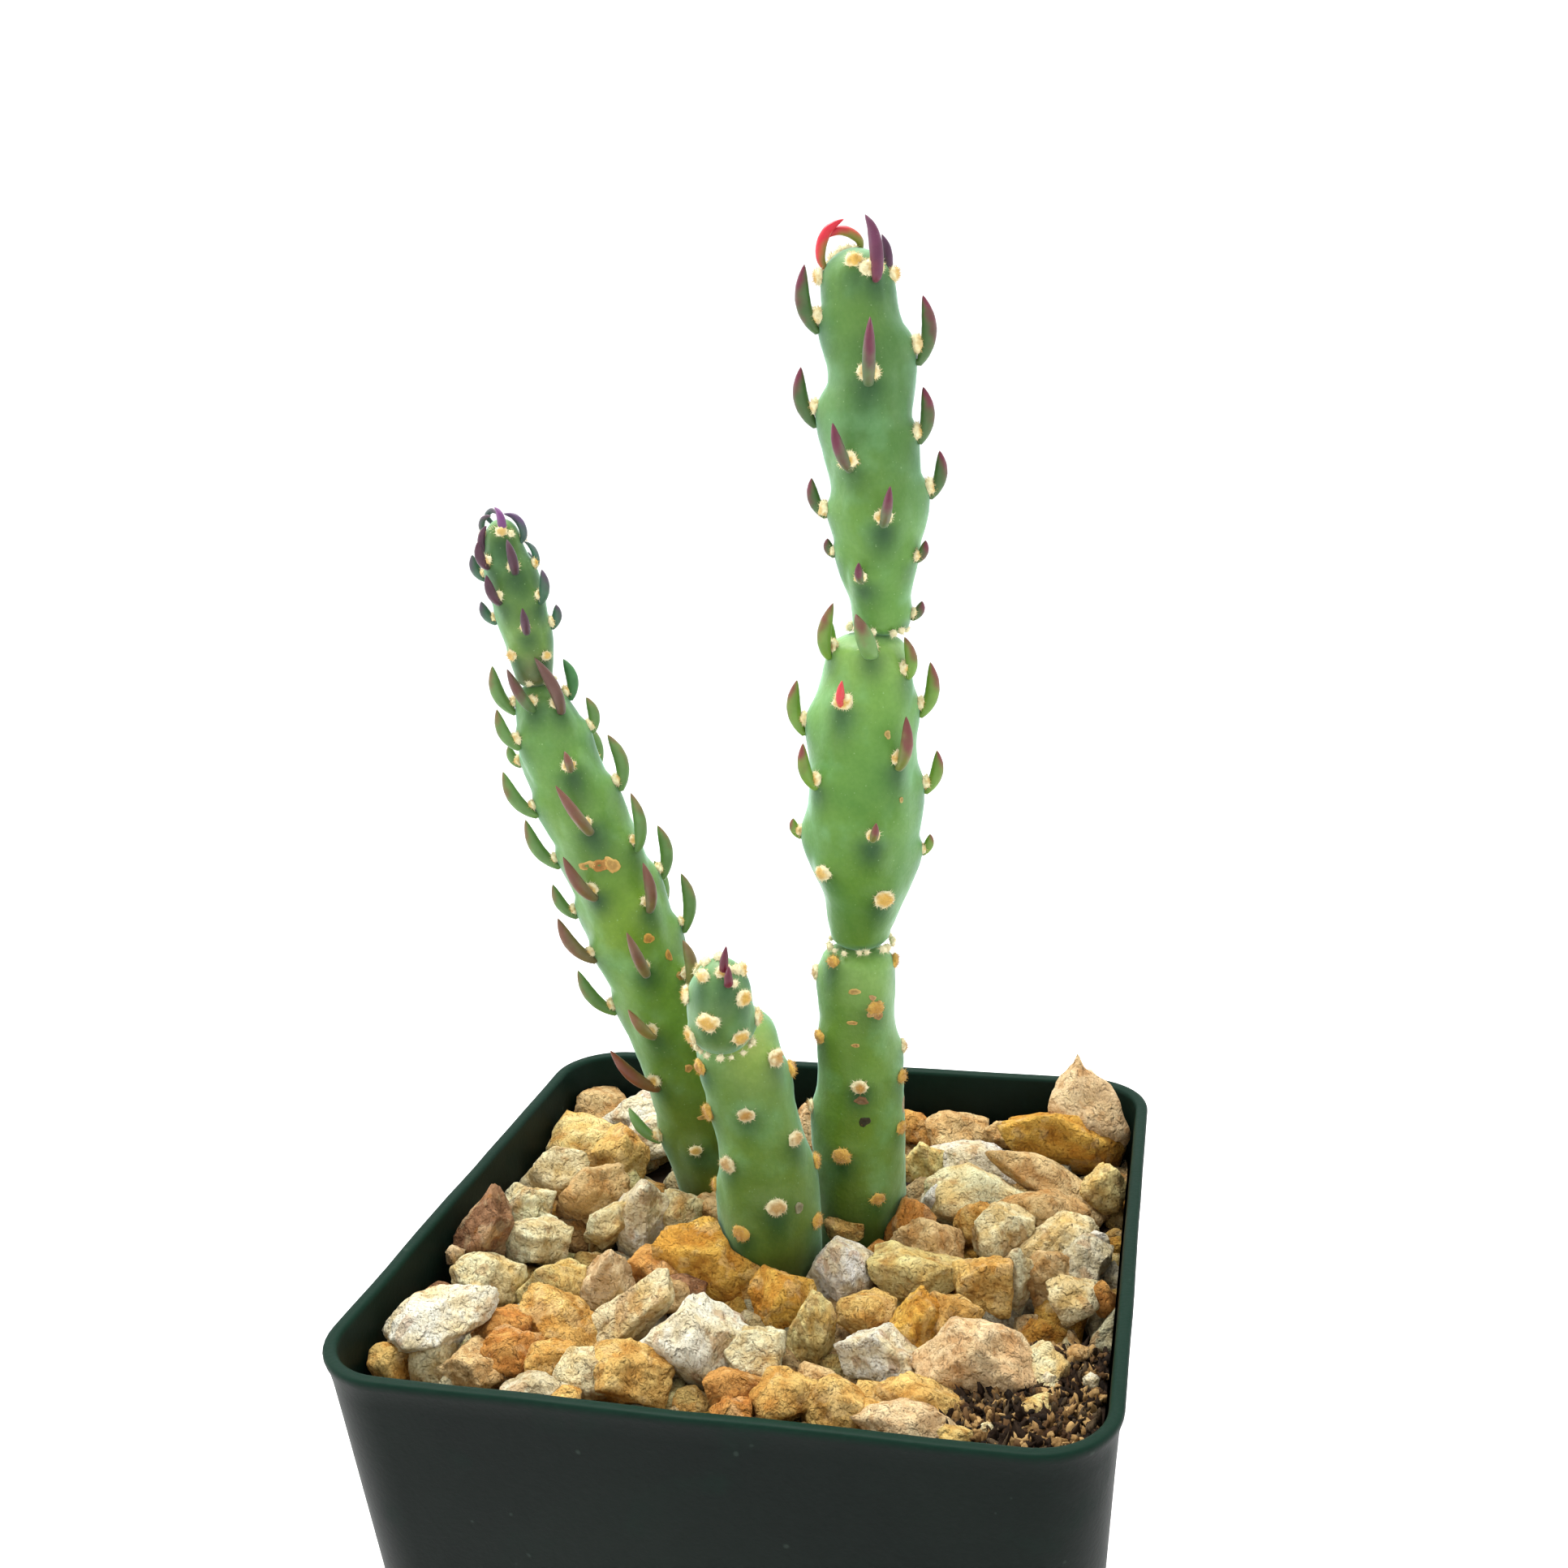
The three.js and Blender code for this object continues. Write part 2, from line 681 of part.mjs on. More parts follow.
function stemSkin(joint, room) {
  const rings = [];
  for (let level = 0; level <= joint.levels; level += 1) {
    const share = level / joint.levels;
    const eased = 0.5 * share + 0.25 * (1 - Math.cos(Math.PI * share));
    const height = joint.bottom + (joint.top - joint.bottom) * eased;
    const frame = spineFrame(joint, height);
    const stretch = room * clamp((eased - 0.5) * endStretch, -1, 1);
    const ring = [];
    for (let i = 0; i < joint.sides; i += 1) {
      const turn = (360 * i) / joint.sides;
      const reach = radiusAt(joint, height, turn) + room;
      const point = frame.centre.clone().addScaledVector(outwardAt(frame, turn), reach);
      ring.push(point.addScaledVector(frame.up, stretch));
    }
    rings.push(ring);
  }
  return solidOf(loft(rings));
}

// A pale felt cushion lying on the skin at an areole
function cushion(joint, [areoleHeight, turn, length]) {
  const height = areoleHeight + (length > 0 ? cushionRise : 0);
  const frame = spineFrame(joint, height);
  const outward = outwardAt(frame, turn);
  const side = new THREE.Vector3().crossVectors(frame.up, outward);
  const geometry = new THREE.OctahedronGeometry(1, 0);
  geometry.scale(...cushionSize);
  const basis = new THREE.Matrix4().makeBasis(side, frame.up, outward);
  const spot = frame.centre.clone().addScaledVector(outward, radiusAt(joint, height, turn));
  return solidOf(geometry.applyMatrix4(basis).translate(spot.x, spot.y, spot.z));
}

// A short fleshy leaf that leaves the skin under its areole and curves up along the stem
function leaf(joint, [height, turn, length, tilt]) {
  const root = height - leafDrop;
  const frame = spineFrame(joint, root);
  const outward = outwardAt(frame, turn);
  const side = new THREE.Vector3().crossVectors(frame.up, outward);
  const start = frame.centre.clone().addScaledVector(outward, radiusAt(joint, root, turn) + leafSeat);
  const girth = leafRadius * clamp(leafGirths.start + leafGirths.growth * length, leafGirths.least, 1);
  const at = (t) => {
    const bow = leafBow * length * Math.sin(Math.PI * clamp(t, 0, 1) ** bowSkew);
    const out = t < 0 ? leafSink * (t / leafStart) : bow + leafFlare * length * t;
    const point = start.clone().addScaledVector(frame.up, length * t);
    point.addScaledVector(outward, out);
    return point.addScaledVector(side, length * t * Math.tan(radians(tilt)));
  };
  const rings = leafStations.map(([t, swell]) => {
    const centre = at(t);
    const heading = at(t + headingStep).sub(at(t - headingStep)).normalize();
    const across = side.clone().addScaledVector(heading, -side.dot(heading)).normalize();
    const over = new THREE.Vector3().crossVectors(heading, across);
    const ring = [];
    for (let i = 0; i < leafSides; i += 1) {
      const angle = (2 * Math.PI * i) / leafSides;
      const point = centre.clone().addScaledVector(across, girth * swell * Math.cos(angle));
      ring.push(point.addScaledVector(over, girth * swell * Math.sin(angle)));
    }
    return ring;
  });
  return solidOf(loft(rings, at(1)));
}

function buildJoint(name) {
  const joint = stemJoints[name];
  const leaves = joint.places.filter((place) => place[2] > 0).map((place) => leaf(joint, place));
  const cushions = joint.places.map((place) => cushion(joint, place));
  const solid = fuse([stemSkin(joint, 0), ...leaves, ...cushions]);
  if (!carried[name]) {
    return solid;
  }
  return largest(solid.subtract(stemSkin(stemJoints[carried[name]], gap)));
}

// A broken stone: the space inside a few seeded facets, scaled, rolled and set down
function stone([x, y, width, height, roll, lift], seed, level, taper) {
  const random = makeRandom(seed);
  const facets = [];
  for (let i = 0; i < stoneFacets; i += 1) {
    const z = 1 - (2 * i + 1) / stoneFacets;
    const angle = i * facetStep + random() * facetShift;
    const flat = Math.sqrt(1 - z * z);
    const normal = new THREE.Vector3(flat * Math.cos(angle), flat * Math.sin(angle), z);
    facets.push({ normal, distance: facetRange[0] + facetRange[1] * random() });
  }
  const steepest = stoneDepth.height * height + stoneDepth.more;
  const depth = Math.min(stoneDepth.width * width, steepest, stoneDepth.most);
  const rise = Math.max(height - depthShown * depth, leastRise);
  const top = level + lift + (stoneFill * rise) / 2;
  const bottom = Math.min(level + lift - (stoneFill * rise) / 2, gravelFloor - stoneSink);
  const isSmall = width < smallStone;
  const geometry = isSmall ? new THREE.OctahedronGeometry(1, 0) : new THREE.IcosahedronGeometry(1, 0);
  if (isSmall) {
    geometry.rotateX(radians(tumble));
    geometry.rotateZ(2 * Math.PI * random());
  }
  const position = geometry.attributes.position;
  for (let i = 0; i < position.count; i += 1) {
    const ray = new THREE.Vector3().fromBufferAttribute(position, i).normalize();
    const reaches = facets.map((f) => f.distance / Math.max(f.normal.dot(ray), facetLean));
    ray.multiplyScalar(Math.min(stoneReach, ...reaches) * stoneReach);
    const narrow = 1 - taper * clamp((ray.z + 1) / 2, 0, 1);
    position.setXYZ(i, ray.x * narrow, ray.y * narrow, ray.z);
  }
  geometry.scale((stoneFill * width) / 2, (stoneFill * depth) / 2, (top - bottom) / 2);
  geometry.rotateY(radians(roll));
  geometry.rotateZ(radians(viewTurn + stoneSpread * (random() - 0.5)));
  geometry.translate(x, y, (top + bottom) / 2);
  return solidOf(geometry);
}

// Small seeded stones that fill the layer under the shown ones
function fillerStones() {
  const random = makeRandom(fillerSeed);
  const solids = [];
  for (let row = -fillerReach; row <= fillerReach; row += fillerSpacing) {
    for (let column = -fillerReach; column <= fillerReach; column += fillerSpacing) {
      const x = column + fillerShift * (random() - 0.5);
      const y = row + fillerShift * (random() - 0.5);
      const width = fillerWidths[0] + fillerWidths[1] * random();
      const roll = fillerRoll * (random() - 0.5);
      const hasRoom = shownStones.every(([a, b]) => Math.hypot(a - x, b - y) > fillerRoom);
      if (hasRoom) {
        const seed = fillerStoneSeed + solids.length;
        solids.push(stone([x, y, width, fillerHeight, roll, 0], seed, fillerLevel, 0));
      }
    }
  }
  return solids;
}

// Everything inside the pot's walls between two heights, a gap clear of them
function insidePot(bottom, top) {
  const offset = -wallThickness - gap;
  return solidOf(loft([potPlan(bottom, offset), potPlan(top, offset)]));
}

function mound(room) {
  const geometry = new THREE.SphereGeometry(1, ...moundFaces);
  geometry.scale(...moundReach.map((reach) => reach + room));
  return solidOf(geometry.translate(...moundCentre));
}

function buildSoil() {
  const random = makeRandom(crumbSeed);
  const bottom = footHeight + floorThickness + gap;
  const crumbs = [];
  for (let i = 0; i < crumbCount; i += 1) {
    const turn = 2 * Math.PI * random();
    const spread = Math.sqrt(random()) * crumbSpread;
    const size = crumbSizes[0] + crumbSizes[1] * random();
    const rise = Math.sqrt(1 - spread * spread) * moundReach[2];
    const geometry = new THREE.IcosahedronGeometry(size, 0).rotateX(turn).rotateZ(turn);
    const x = moundCentre[0] + Math.cos(turn) * spread * moundReach[0];
    const y = moundCentre[1] + Math.sin(turn) * spread * moundReach[1];
    crumbs.push(solidOf(geometry.translate(x, y, moundCentre[2] + rise - crumbSink * size)));
  }
  const heap = fuse([mound(0), ...crumbs]).intersect(insidePot(soilTop - moundRoot, potHeight));
  let soil = fuse([insidePot(bottom, soilTop), heap]);
  for (const name of plantedJoints) {
    soil = soil.subtract(stemSkin(stemJoints[name], gap));
  }
  return largest(soil);
}

function buildGravel() {
  const shown = shownStones.map((row, index) => stone(row, index + 1, stoneLevel, 0));
  const spire = stone(spireStone, spireSeed, stoneLevel, spireTaper);
  const floor = insidePot(soilTop + gap, gravelFloor);
  const walls = insidePot(soilTop + gap, potHeight + gravelHeadroom);
  let gravel = fuse([floor, spire, ...shown, ...fillerStones()]).intersect(walls);
  gravel = gravel.subtract(mound(moundRoom));
  for (const name of plantedJoints) {
    gravel = gravel.subtract(stemSkin(stemJoints[name], stemRoomInGravel));
  }
  return largest(gravel);
}

for (const joint of Object.values(stemJoints)) {
  joint.places = allAreoles(joint);
}

const group = new THREE.Group();

function addPiece(name, solid, color, roughness) {
  const material = new THREE.MeshStandardMaterial({ color, roughness, metalness: 0 });
  const mesh = new THREE.Mesh(geometryOf(solid), material);
  mesh.name = name;
  group.add(mesh);
}

addPiece('pot', buildPot(), potGreen, 0.42);
addPiece('soil', buildSoil(), soilBrown, 0.95);
addPiece('gravel', buildGravel(), gravelCream, 0.9);
for (const name of Object.keys(stemJoints)) {
  addPiece(name, buildJoint(name), skinGreen, 0.5);
}

export default group;
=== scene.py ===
import json
import math

import bmesh
import bpy
import numpy as np
from mathutils import Matrix, Vector, noise

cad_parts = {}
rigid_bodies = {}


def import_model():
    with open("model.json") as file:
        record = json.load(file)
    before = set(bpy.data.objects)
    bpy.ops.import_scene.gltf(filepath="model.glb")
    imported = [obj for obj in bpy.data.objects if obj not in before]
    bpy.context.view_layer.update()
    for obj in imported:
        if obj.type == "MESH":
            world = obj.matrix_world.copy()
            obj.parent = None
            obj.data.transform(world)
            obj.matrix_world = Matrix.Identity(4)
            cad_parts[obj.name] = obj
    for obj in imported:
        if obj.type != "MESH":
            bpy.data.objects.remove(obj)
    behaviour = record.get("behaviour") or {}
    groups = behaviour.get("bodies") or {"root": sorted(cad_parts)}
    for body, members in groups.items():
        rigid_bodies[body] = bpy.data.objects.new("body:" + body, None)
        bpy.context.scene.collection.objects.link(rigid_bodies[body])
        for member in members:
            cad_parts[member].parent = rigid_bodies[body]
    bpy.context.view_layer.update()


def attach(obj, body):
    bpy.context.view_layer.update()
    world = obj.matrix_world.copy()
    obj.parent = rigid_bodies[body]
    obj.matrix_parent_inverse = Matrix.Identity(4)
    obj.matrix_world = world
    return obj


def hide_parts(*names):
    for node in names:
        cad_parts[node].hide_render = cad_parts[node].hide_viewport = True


# A brittle prickly pear in a square nursery pot.
# Sizes below are in millimetres, in the frame of the model: origin at the pot's foot, +Z up.

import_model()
mm = 0.001


def linear(color):
    # a colour as seen on screen, 0 to 255, turned into light values
    shares = [channel / 255 for channel in color]
    values = [s / 12.92 if s <= 0.04045 else ((s + 0.055) / 1.055) ** 2.4 for s in shares]
    return (*values, 1.0)


def makeRandom(seed):
    state = (seed * 7919 + 12345) % 4294967296

    def draw():
        nonlocal state
        state = (state * 1664525 + 1013904223) % 4294967296
        return state / 4294967296

    return draw


def smoothStep(low, high, value):
    share = np.clip((value - low) / (high - low), 0, 1)
    return share * share * (3 - 2 * share)

# Meshes

attributeKinds = {1: ("FLOAT", "value"), 3: ("FLOAT_VECTOR", "vector"), 4: ("FLOAT_COLOR", "color")}


def addAttribute(mesh, name, values):
    # one number, vector or colour for each point
    values = np.asarray(values, dtype=np.float32)
    kind, field = attributeKinds[values.size // len(values)]
    mesh.attributes.new(name, kind, "POINT").data.foreach_set(field, values.ravel())


def readAttribute(mesh, name, size):
    values = np.zeros(len(mesh.vertices) * size, dtype=np.float32)
    mesh.attributes[name].data.foreach_get(attributeKinds[size][1], values)
    return values.reshape(-1, size)


def readPoints(mesh):
    flat = np.zeros(len(mesh.vertices) * 3)
    mesh.vertices.foreach_get("co", flat)
    return flat.reshape(-1, 3) / mm


def addToScene(name, data, place=(0, 0, 0)):
    item = bpy.data.objects.new(name, data)
    item.location = Vector(place) * mm
    bpy.context.scene.collection.objects.link(item)
    return item


def makeObject(name, points, faces=(), edges=(), **attributes):
    mesh = bpy.data.meshes.new(name)
    mesh.from_pydata((np.asarray(points) * mm).tolist(), list(edges), [list(f) for f in faces])
    for label, values in attributes.items():
        addAttribute(mesh, label, values)
    mesh.polygons.foreach_set("use_smooth", [True] * len(mesh.polygons))
    return addToScene(name, mesh)


def ringFaces(levels, count):
    # quads between rings of points
    corners = [(level * count, i, (i + 1) % count) for level in range(levels - 1) for i in range(count)]
    return [(start + a, start + b, start + b + count, start + a + count) for start, a, b in corners]


def loftFaces(levels, count):
    # rings whose two ends close on a middle point each, and both middle points follow the rings
    faces = ringFaces(levels, count)
    first = levels * count
    last = first - count
    for i in range(count):
        faces.append((first, (i + 1) % count, i))
        faces.append((first + 1, last + i, last + (i + 1) % count))
    return faces


def loftPoints(rings):
    return np.concatenate([rings.reshape(-1, 3), [rings[0].mean(axis=0), rings[-1].mean(axis=0)]])


def turnedOver(faces):
    # the other side of each face, cut into triangles
    triangles = []
    for first, *rest in faces:
        triangles += [(first, rest[i], rest[i - 1]) for i in range(len(rest) - 1, 0, -1)]
    return triangles


def unitBall(detail):
    # points and triangles of a round ball, from an icosahedron cut finer
    ball = bmesh.new()
    bmesh.ops.create_icosphere(ball, subdivisions=detail, radius=1)
    points = np.array([v.co[:] for v in ball.verts])
    faces = np.array([[v.index for v in f.verts] for f in ball.faces])
    ball.free()
    return points / np.linalg.norm(points, axis=1)[:, None], faces


unitBalls = {detail: unitBall(detail) for detail in (2, 3, 4, 5)}


def joinParts(name, parts):
    # parts is a list of (points, faces, {attribute: values})
    points, faces, start = [], [], 0
    for partPoints, partFaces, _ in parts:
        points.append(partPoints)
        faces.extend((np.asarray(partFaces) + start).tolist())
        start += len(partPoints)
    joined = {label: np.concatenate([values[label] for _, _, values in parts]) for label in parts[0][2]}
    return makeObject(name, np.concatenate(points), faces, **joined)


def keepResult(piece):
    # the result of the piece's modifiers becomes its plain mesh
    graph = bpy.context.evaluated_depsgraph_get()
    mesh = bpy.data.meshes.new_from_object(piece.evaluated_get(graph))
    piece.modifiers.clear()
    piece.data = mesh
    mesh.name = piece.name


def finishPiece(piece, slot, *nodes, material=None):
    if material:
        piece.data.materials.clear()
        piece.data.materials.append(material)
    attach(piece, "root")
    if nodes:
        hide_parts(*nodes)


def bumps(points, size, depth=3, seed=0.0):
    # soft noise from -1 to 1 at each point, with lumps about this size
    shift = Vector((seed * 17.3, seed * 5.1, seed * 9.7))
    values = [noise.fractal(Vector(p) / size + shift, 1.0, 2.0, depth) for p in points]
    return np.array(values)


def layeredBumps(points, layers):
    # each layer is (size, depth, seed, share)
    return sum(share * bumps(points, size, depth, seed) for size, depth, seed, share in layers)


def lumpy(points, size, share, seed):
    # points of a ball pushed in and out by soft noise of this size and strength
    return points * (1 + share * bumps(points, size, 3, seed))[:, None]


def tiled(color, count):
    return np.tile(linear(color), (count, 1))


# Node trees

def plain(label):
    return label.replace(" ", "").lower()


def makeTree(name, family, inputs, output):
    # a tree with these named inputs, each [label, kind, value], and one output
    tree = bpy.data.node_groups.new(name, f"{family}NodeTree")
    for label, kind, value in inputs:
        socket = tree.interface.new_socket(label, in_out="INPUT", socket_type=f"NodeSocket{kind}")
        if value is not None:
            socket.default_value = value
    tree.interface.new_socket(output[0], in_out="OUTPUT", socket_type=f"NodeSocket{output[1]}")
    return tree, tree.nodes.new("NodeGroupInput").outputs


def fillInput(tree, socket, value):
    # a socket is linked, anything else is set
    if isinstance(value, bpy.types.NodeSocket):
        tree.links.new(value, socket)
    else:
        socket.default_value = value


def fillInputs(tree, node, **values):
    for label, value in values.items():
        fillInput(tree, next(s for s in node.inputs if s.enabled and plain(s.name) == plain(label)), value)


def addNode(tree, kind, settings=None, *inputs, **named):
    # inputs fill the node's first sockets in order, and the named ones by name
    node = tree.nodes.new(kind)
    for label, value in (settings or {}).items():
        setattr(node, label, value)
    for socket, value in zip(node.inputs, inputs):
        fillInput(tree, socket, value)
    fillInputs(tree, node, **named)
    return node


def outputOf(tree, kind, settings=None, *inputs, **named):
    # adds a node and hands back its first output in use
    return next(s for s in addNode(tree, kind, settings, *inputs, **named).outputs if s.enabled)


def mathOf(tree, operation, *inputs):
    return outputOf(tree, "ShaderNodeMath", {"operation": operation}, *inputs)


def vectorOf(tree, operation, *inputs, **named):
    return outputOf(tree, "ShaderNodeVectorMath", {"operation": operation}, *inputs, **named)


def stepOf(tree, value, low, high):
    # rises smoothly from 0 to 1 between low and high
    return outputOf(tree, "ShaderNodeMapRange", {"interpolation_type": "SMOOTHSTEP"}, value, low, high)


def mixOf(tree, below, above, share, blend="MIX"):
    settings = {"data_type": "RGBA", "blend_type": blend}
    return outputOf(tree, "ShaderNodeMix", settings, factor=share, a=below, b=above)


def makeGeometryTree(name, inputs):
    ends = ("Geometry", "Geometry")
    return makeTree(name, "Geometry", [(*ends, None), *inputs, ("Material", "Material", None)], ends)


def closeTree(tree, start, geometry):
    # the last nodes of each geometry tree: real geometry, then its material
    real = outputOf(tree, "GeometryNodeRealizeInstances", geometry=geometry)
    painted = outputOf(tree, "GeometryNodeSetMaterial", geometry=real, material=start["Material"])
    addNode(tree, "NodeGroupOutput", geometry=painted)
    return tree


def growTree(piece, tree, **values):
    # runs a geometry tree on a piece and keeps the result as a plain mesh
    modifier = piece.modifiers.new("grow", "NODES")
    modifier.node_group = tree
    values = {plain(label): value for label, value in values.items()}
    for socket in tree.interface.items_tree:
        if socket.in_out == "INPUT" and plain(socket.name) in values:
            modifier[socket.identifier] = values[plain(socket.name)]
    keepResult(piece)


def makeMaskGroup(name, **values):
    # a shader group that turns a place into a mask from 0 to 1
    inputs = [(label.title(), "Float", value) for label, value in values.items()]
    return makeTree(name, "Shader", [("Vector", "Vector", None), *inputs], ("Mask", "Float"))


def makeMottleGroup():
    # soft patches
    group, start = makeMaskGroup("mottle", scale=100.0, detail=3.0, low=0.35, high=0.65)
    cloud = outputOf(
        group, "ShaderNodeTexNoise", vector=start["Vector"], scale=start["Scale"], detail=start["Detail"],
    )
    addNode(group, "NodeGroupOutput", mask=stepOf(group, cloud, start["Low"], start["High"]))
    return group


def makeFleckGroup():
    # scattered small dots of uneven size, 1 inside a dot
    group, start = makeMaskGroup("flecks", scale=900.0, size=0.25, softness=0.1)
    warp = outputOf(group, "ShaderNodeTexNoise", vector=start["Vector"], scale=start["Scale"], detail=2.0)
    wobble = mathOf(group, "MULTIPLY_ADD", warp, 0.9, -0.45)
    cells = outputOf(group, "ShaderNodeTexVoronoi", vector=start["Vector"], scale=start["Scale"])
    edge = mathOf(group, "SUBTRACT", mathOf(group, "ADD", start["Size"], wobble), cells)
    addNode(group, "NodeGroupOutput", mask=stepOf(group, edge, 0.0, start["Softness"]))
    return group


mottleGroup = makeMottleGroup()
fleckGroup = makeFleckGroup()


class Paint:
    # builds one material: a Principled shader, with colours laid over each other in front of it

    def __init__(self, name, **constants):
        self.material = bpy.data.materials.new(name)
        self.material.use_nodes = True
        self.tree = self.material.node_tree
        self.shader = self.tree.nodes["Principled BSDF"]
        fillInputs(self.tree, self.shader, **constants)
        self.place = self.tree.nodes.new("ShaderNodeTexCoord").outputs["Object"]
        self.color = self.normal = None

    def attribute(self, name, output="Color"):
        return addNode(self.tree, "ShaderNodeAttribute", {"attribute_name": name}).outputs[output]

    def shift(self, name, amount):
        # a separate patch of every pattern for each stone
        step = vectorOf(self.tree, "SCALE", self.attribute(name, "Vector"), scale=amount)
        self.place = vectorOf(self.tree, "ADD", self.place, step)

    def mask(self, group, **values):
        return outputOf(self.tree, "ShaderNodeGroup", {"node_tree": group}, vector=self.place, **values)

    def mottle(self, scale, **values):
        return self.mask(mottleGroup, scale=scale, **values)

    def flecks(self, scale, size, softness):
        return self.mask(fleckGroup, scale=scale, size=size, softness=softness)

    def scaled(self, mask, share, more=0.0):
        return mathOf(self.tree, "MULTIPLY_ADD", mask, share, more)

    def cover(self, color, mask, share=1.0, more=0.0):
        # a screen colour, or one from a socket, laid over what is there as far as the mask says
        above = color if isinstance(color, bpy.types.NodeSocket) else linear(color)
        self.color = mixOf(self.tree, self.color, above, self.scaled(mask, share, more))

    def soak(self, shade, mask, share=1.0):
        # what is there, multiplied by a shade
        self.color = mixOf(self.tree, self.color, (*shade, 1), self.scaled(mask, share), "MULTIPLY")

    def bump(self, mask, strength, depth):
        values = {"height": mask, "strength": strength, "distance": depth * mm}
        if self.normal is not None:
            values["normal"] = self.normal
        self.normal = outputOf(self.tree, "ShaderNodeBump", **values)

    def finish(self, **values):
        if self.normal is not None:
            values["normal"] = self.normal
        fillInputs(self.tree, self.shader, baseColor=self.color, **values)
        return self.material


print("frame loaded, helpers ready")

# Camera, lights and floor

camera = {"place": (36.278, -133.494, 134.928), "turn": (75.7024, 2.6973, 13.6703), "lens": 38.253,
          "sensor": 36, "near": 5, "far": 20000}
softLights = {
    "top_softbox": {"place": (-70, 70, 420), "size": 240, "power": 2.15, "color": (1.0, 0.985, 0.96)},
    "left_softbox": {"place": (-380, -20, 190), "size": 260, "power": 0.3, "color": (0.97, 0.985, 1.0)},
    "right_softbox": {"place": (380, 60, 160), "size": 260, "power": 0.22, "color": (0.96, 0.98, 1.0)},
}
lightAim = (0, 0, 85)
room = {"behind": (1.0, 1.0, 1.0, 1.0), "front": (0.16, 0.165, 0.17, 1.0), "blend": (-0.75, 0.25)}
# the floor and the wall it curves up into: [distance from the middle, height]
floor = {"rings": [[700, 0], [1100, 0], [1300, 40], [1440, 160], [1500, 360], [1500, 1600]], "sides": 64,
         "dark": (0.9, 0.9, 0.9, 1), "light": (0.94, 0.94, 0.94, 1), "glow": 0.3}


def makeCamera():
    data = bpy.data.cameras.new("camera")
    data.lens, data.sensor_width = camera["lens"], camera["sensor"]
    data.clip_start, data.clip_end = camera["near"] * mm, camera["far"] * mm
    item = addToScene("camera", data, camera["place"])
    item.rotation_euler = [math.radians(angle) for angle in camera["turn"]]
    bpy.context.scene.camera = item
    bpy.context.scene.view_settings.view_transform = "Standard"


def addLight(name, settings):
    data = bpy.data.lights.new(name, "AREA")
    data.shape = "SQUARE"
    data.size = settings["size"] * mm
    data.energy = settings["power"]
    data.color = settings["color"]
    light = addToScene(name, data, settings["place"])
    light.rotation_euler = (Vector(lightAim) - Vector(settings["place"])).to_track_quat("-Z", "Y").to_euler()


def makeWorld():
    # a white room that is darker on the side of the viewer
    world = bpy.data.worlds.new("white_room")
    world.use_nodes = True
    tree = world.node_tree
    direction = tree.nodes.new("ShaderNodeTexCoord").outputs["Generated"]
    parts = addNode(tree, "ShaderNodeSeparateXYZ", None, direction)
    depth = stepOf(tree, parts.outputs["Y"], *room["blend"])
    blend = mixOf(tree, room["front"], room["behind"], depth)
    fillInputs(tree, tree.nodes["Background"], color=blend, strength=1.0)
    bpy.context.scene.world = world


def makeFloor():
    # pale, and curved up into a pale wall behind and beside the pot
    rings, count = floor["rings"], floor["sides"]
    angles = [2 * math.pi * i / count for i in range(count)]
    points = [(reach * math.cos(a), reach * math.sin(a), rise) for reach, rise in rings for a in angles]
    faces = [(len(points), i, (i + 1) % count) for i in range(count)]
    faces += [face[::-1] for face in ringFaces(len(rings), count)]
    piece = makeObject("pale_floor", [*points, (0, 0, 0)], faces)
    paint = Paint(
        "pale_floor", roughness=0.9, specularIorLevel=0.0, emissionColor=(1, 1, 1, 1),
        emissionStrength=floor["glow"],
    )
    paint.color = mixOf(paint.tree, floor["dark"], floor["light"], paint.mottle(3.0))
    piece.data.materials.append(paint.finish())


makeCamera()
for lightName, lightSettings in softLights.items():
    addLight(lightName, lightSettings)
makeWorld()
makeFloor()
print("camera, lights and floor done")

# The pot: thin dark green plastic with a soft rolled lip, drain holes and four corner feet

pot = {
    "height": 60,
    "rimWidth": 64,
    "rimCorner": 6.9,
    "rimOverhang": 0.3,
    "wallTaper": 0.08,
    "cornerGrowth": 0.02,
    "wall": 0.9,
    "floor": 1.2,
    "footHeight": 2,
    "footWidth": 9,
    "footCorner": 5,
    "footSlope": 0.4,
    "footNotch": 26,
    "notchRise": 3.8,
    "drainRadius": 3.4,
    "drainOffset": 11.5,
    "drainPlaces": [(0, 0), (1, 1), (-1, 1), (-1, -1), (1, -1)],
    "drainDepth": 12,
    "drainSides": 48,
    "cornerSteps": 12,
    "sideSteps": 16,
    "waves": [(7, 0.6, 0.45), (12, 2.1, 0.35), (23, 0, 0.2)],
    "sideWave": 0.00144,
    "sideWaveBand": (20, 60),
    "rimWave": 0.06,
    "rimWaveBand": (58.8, 60),
    "edgeBand": (59.2, 59.9),
    "weld": 0.002,
    "sharpAngle": 50,
    "color": (5, 14, 11),
    "cloudColor": (8, 18, 14),
    "edgeColor": (11, 38, 28),
    "dustColor": (90, 110, 96),
    "scuffColor": (36, 62, 52),
}


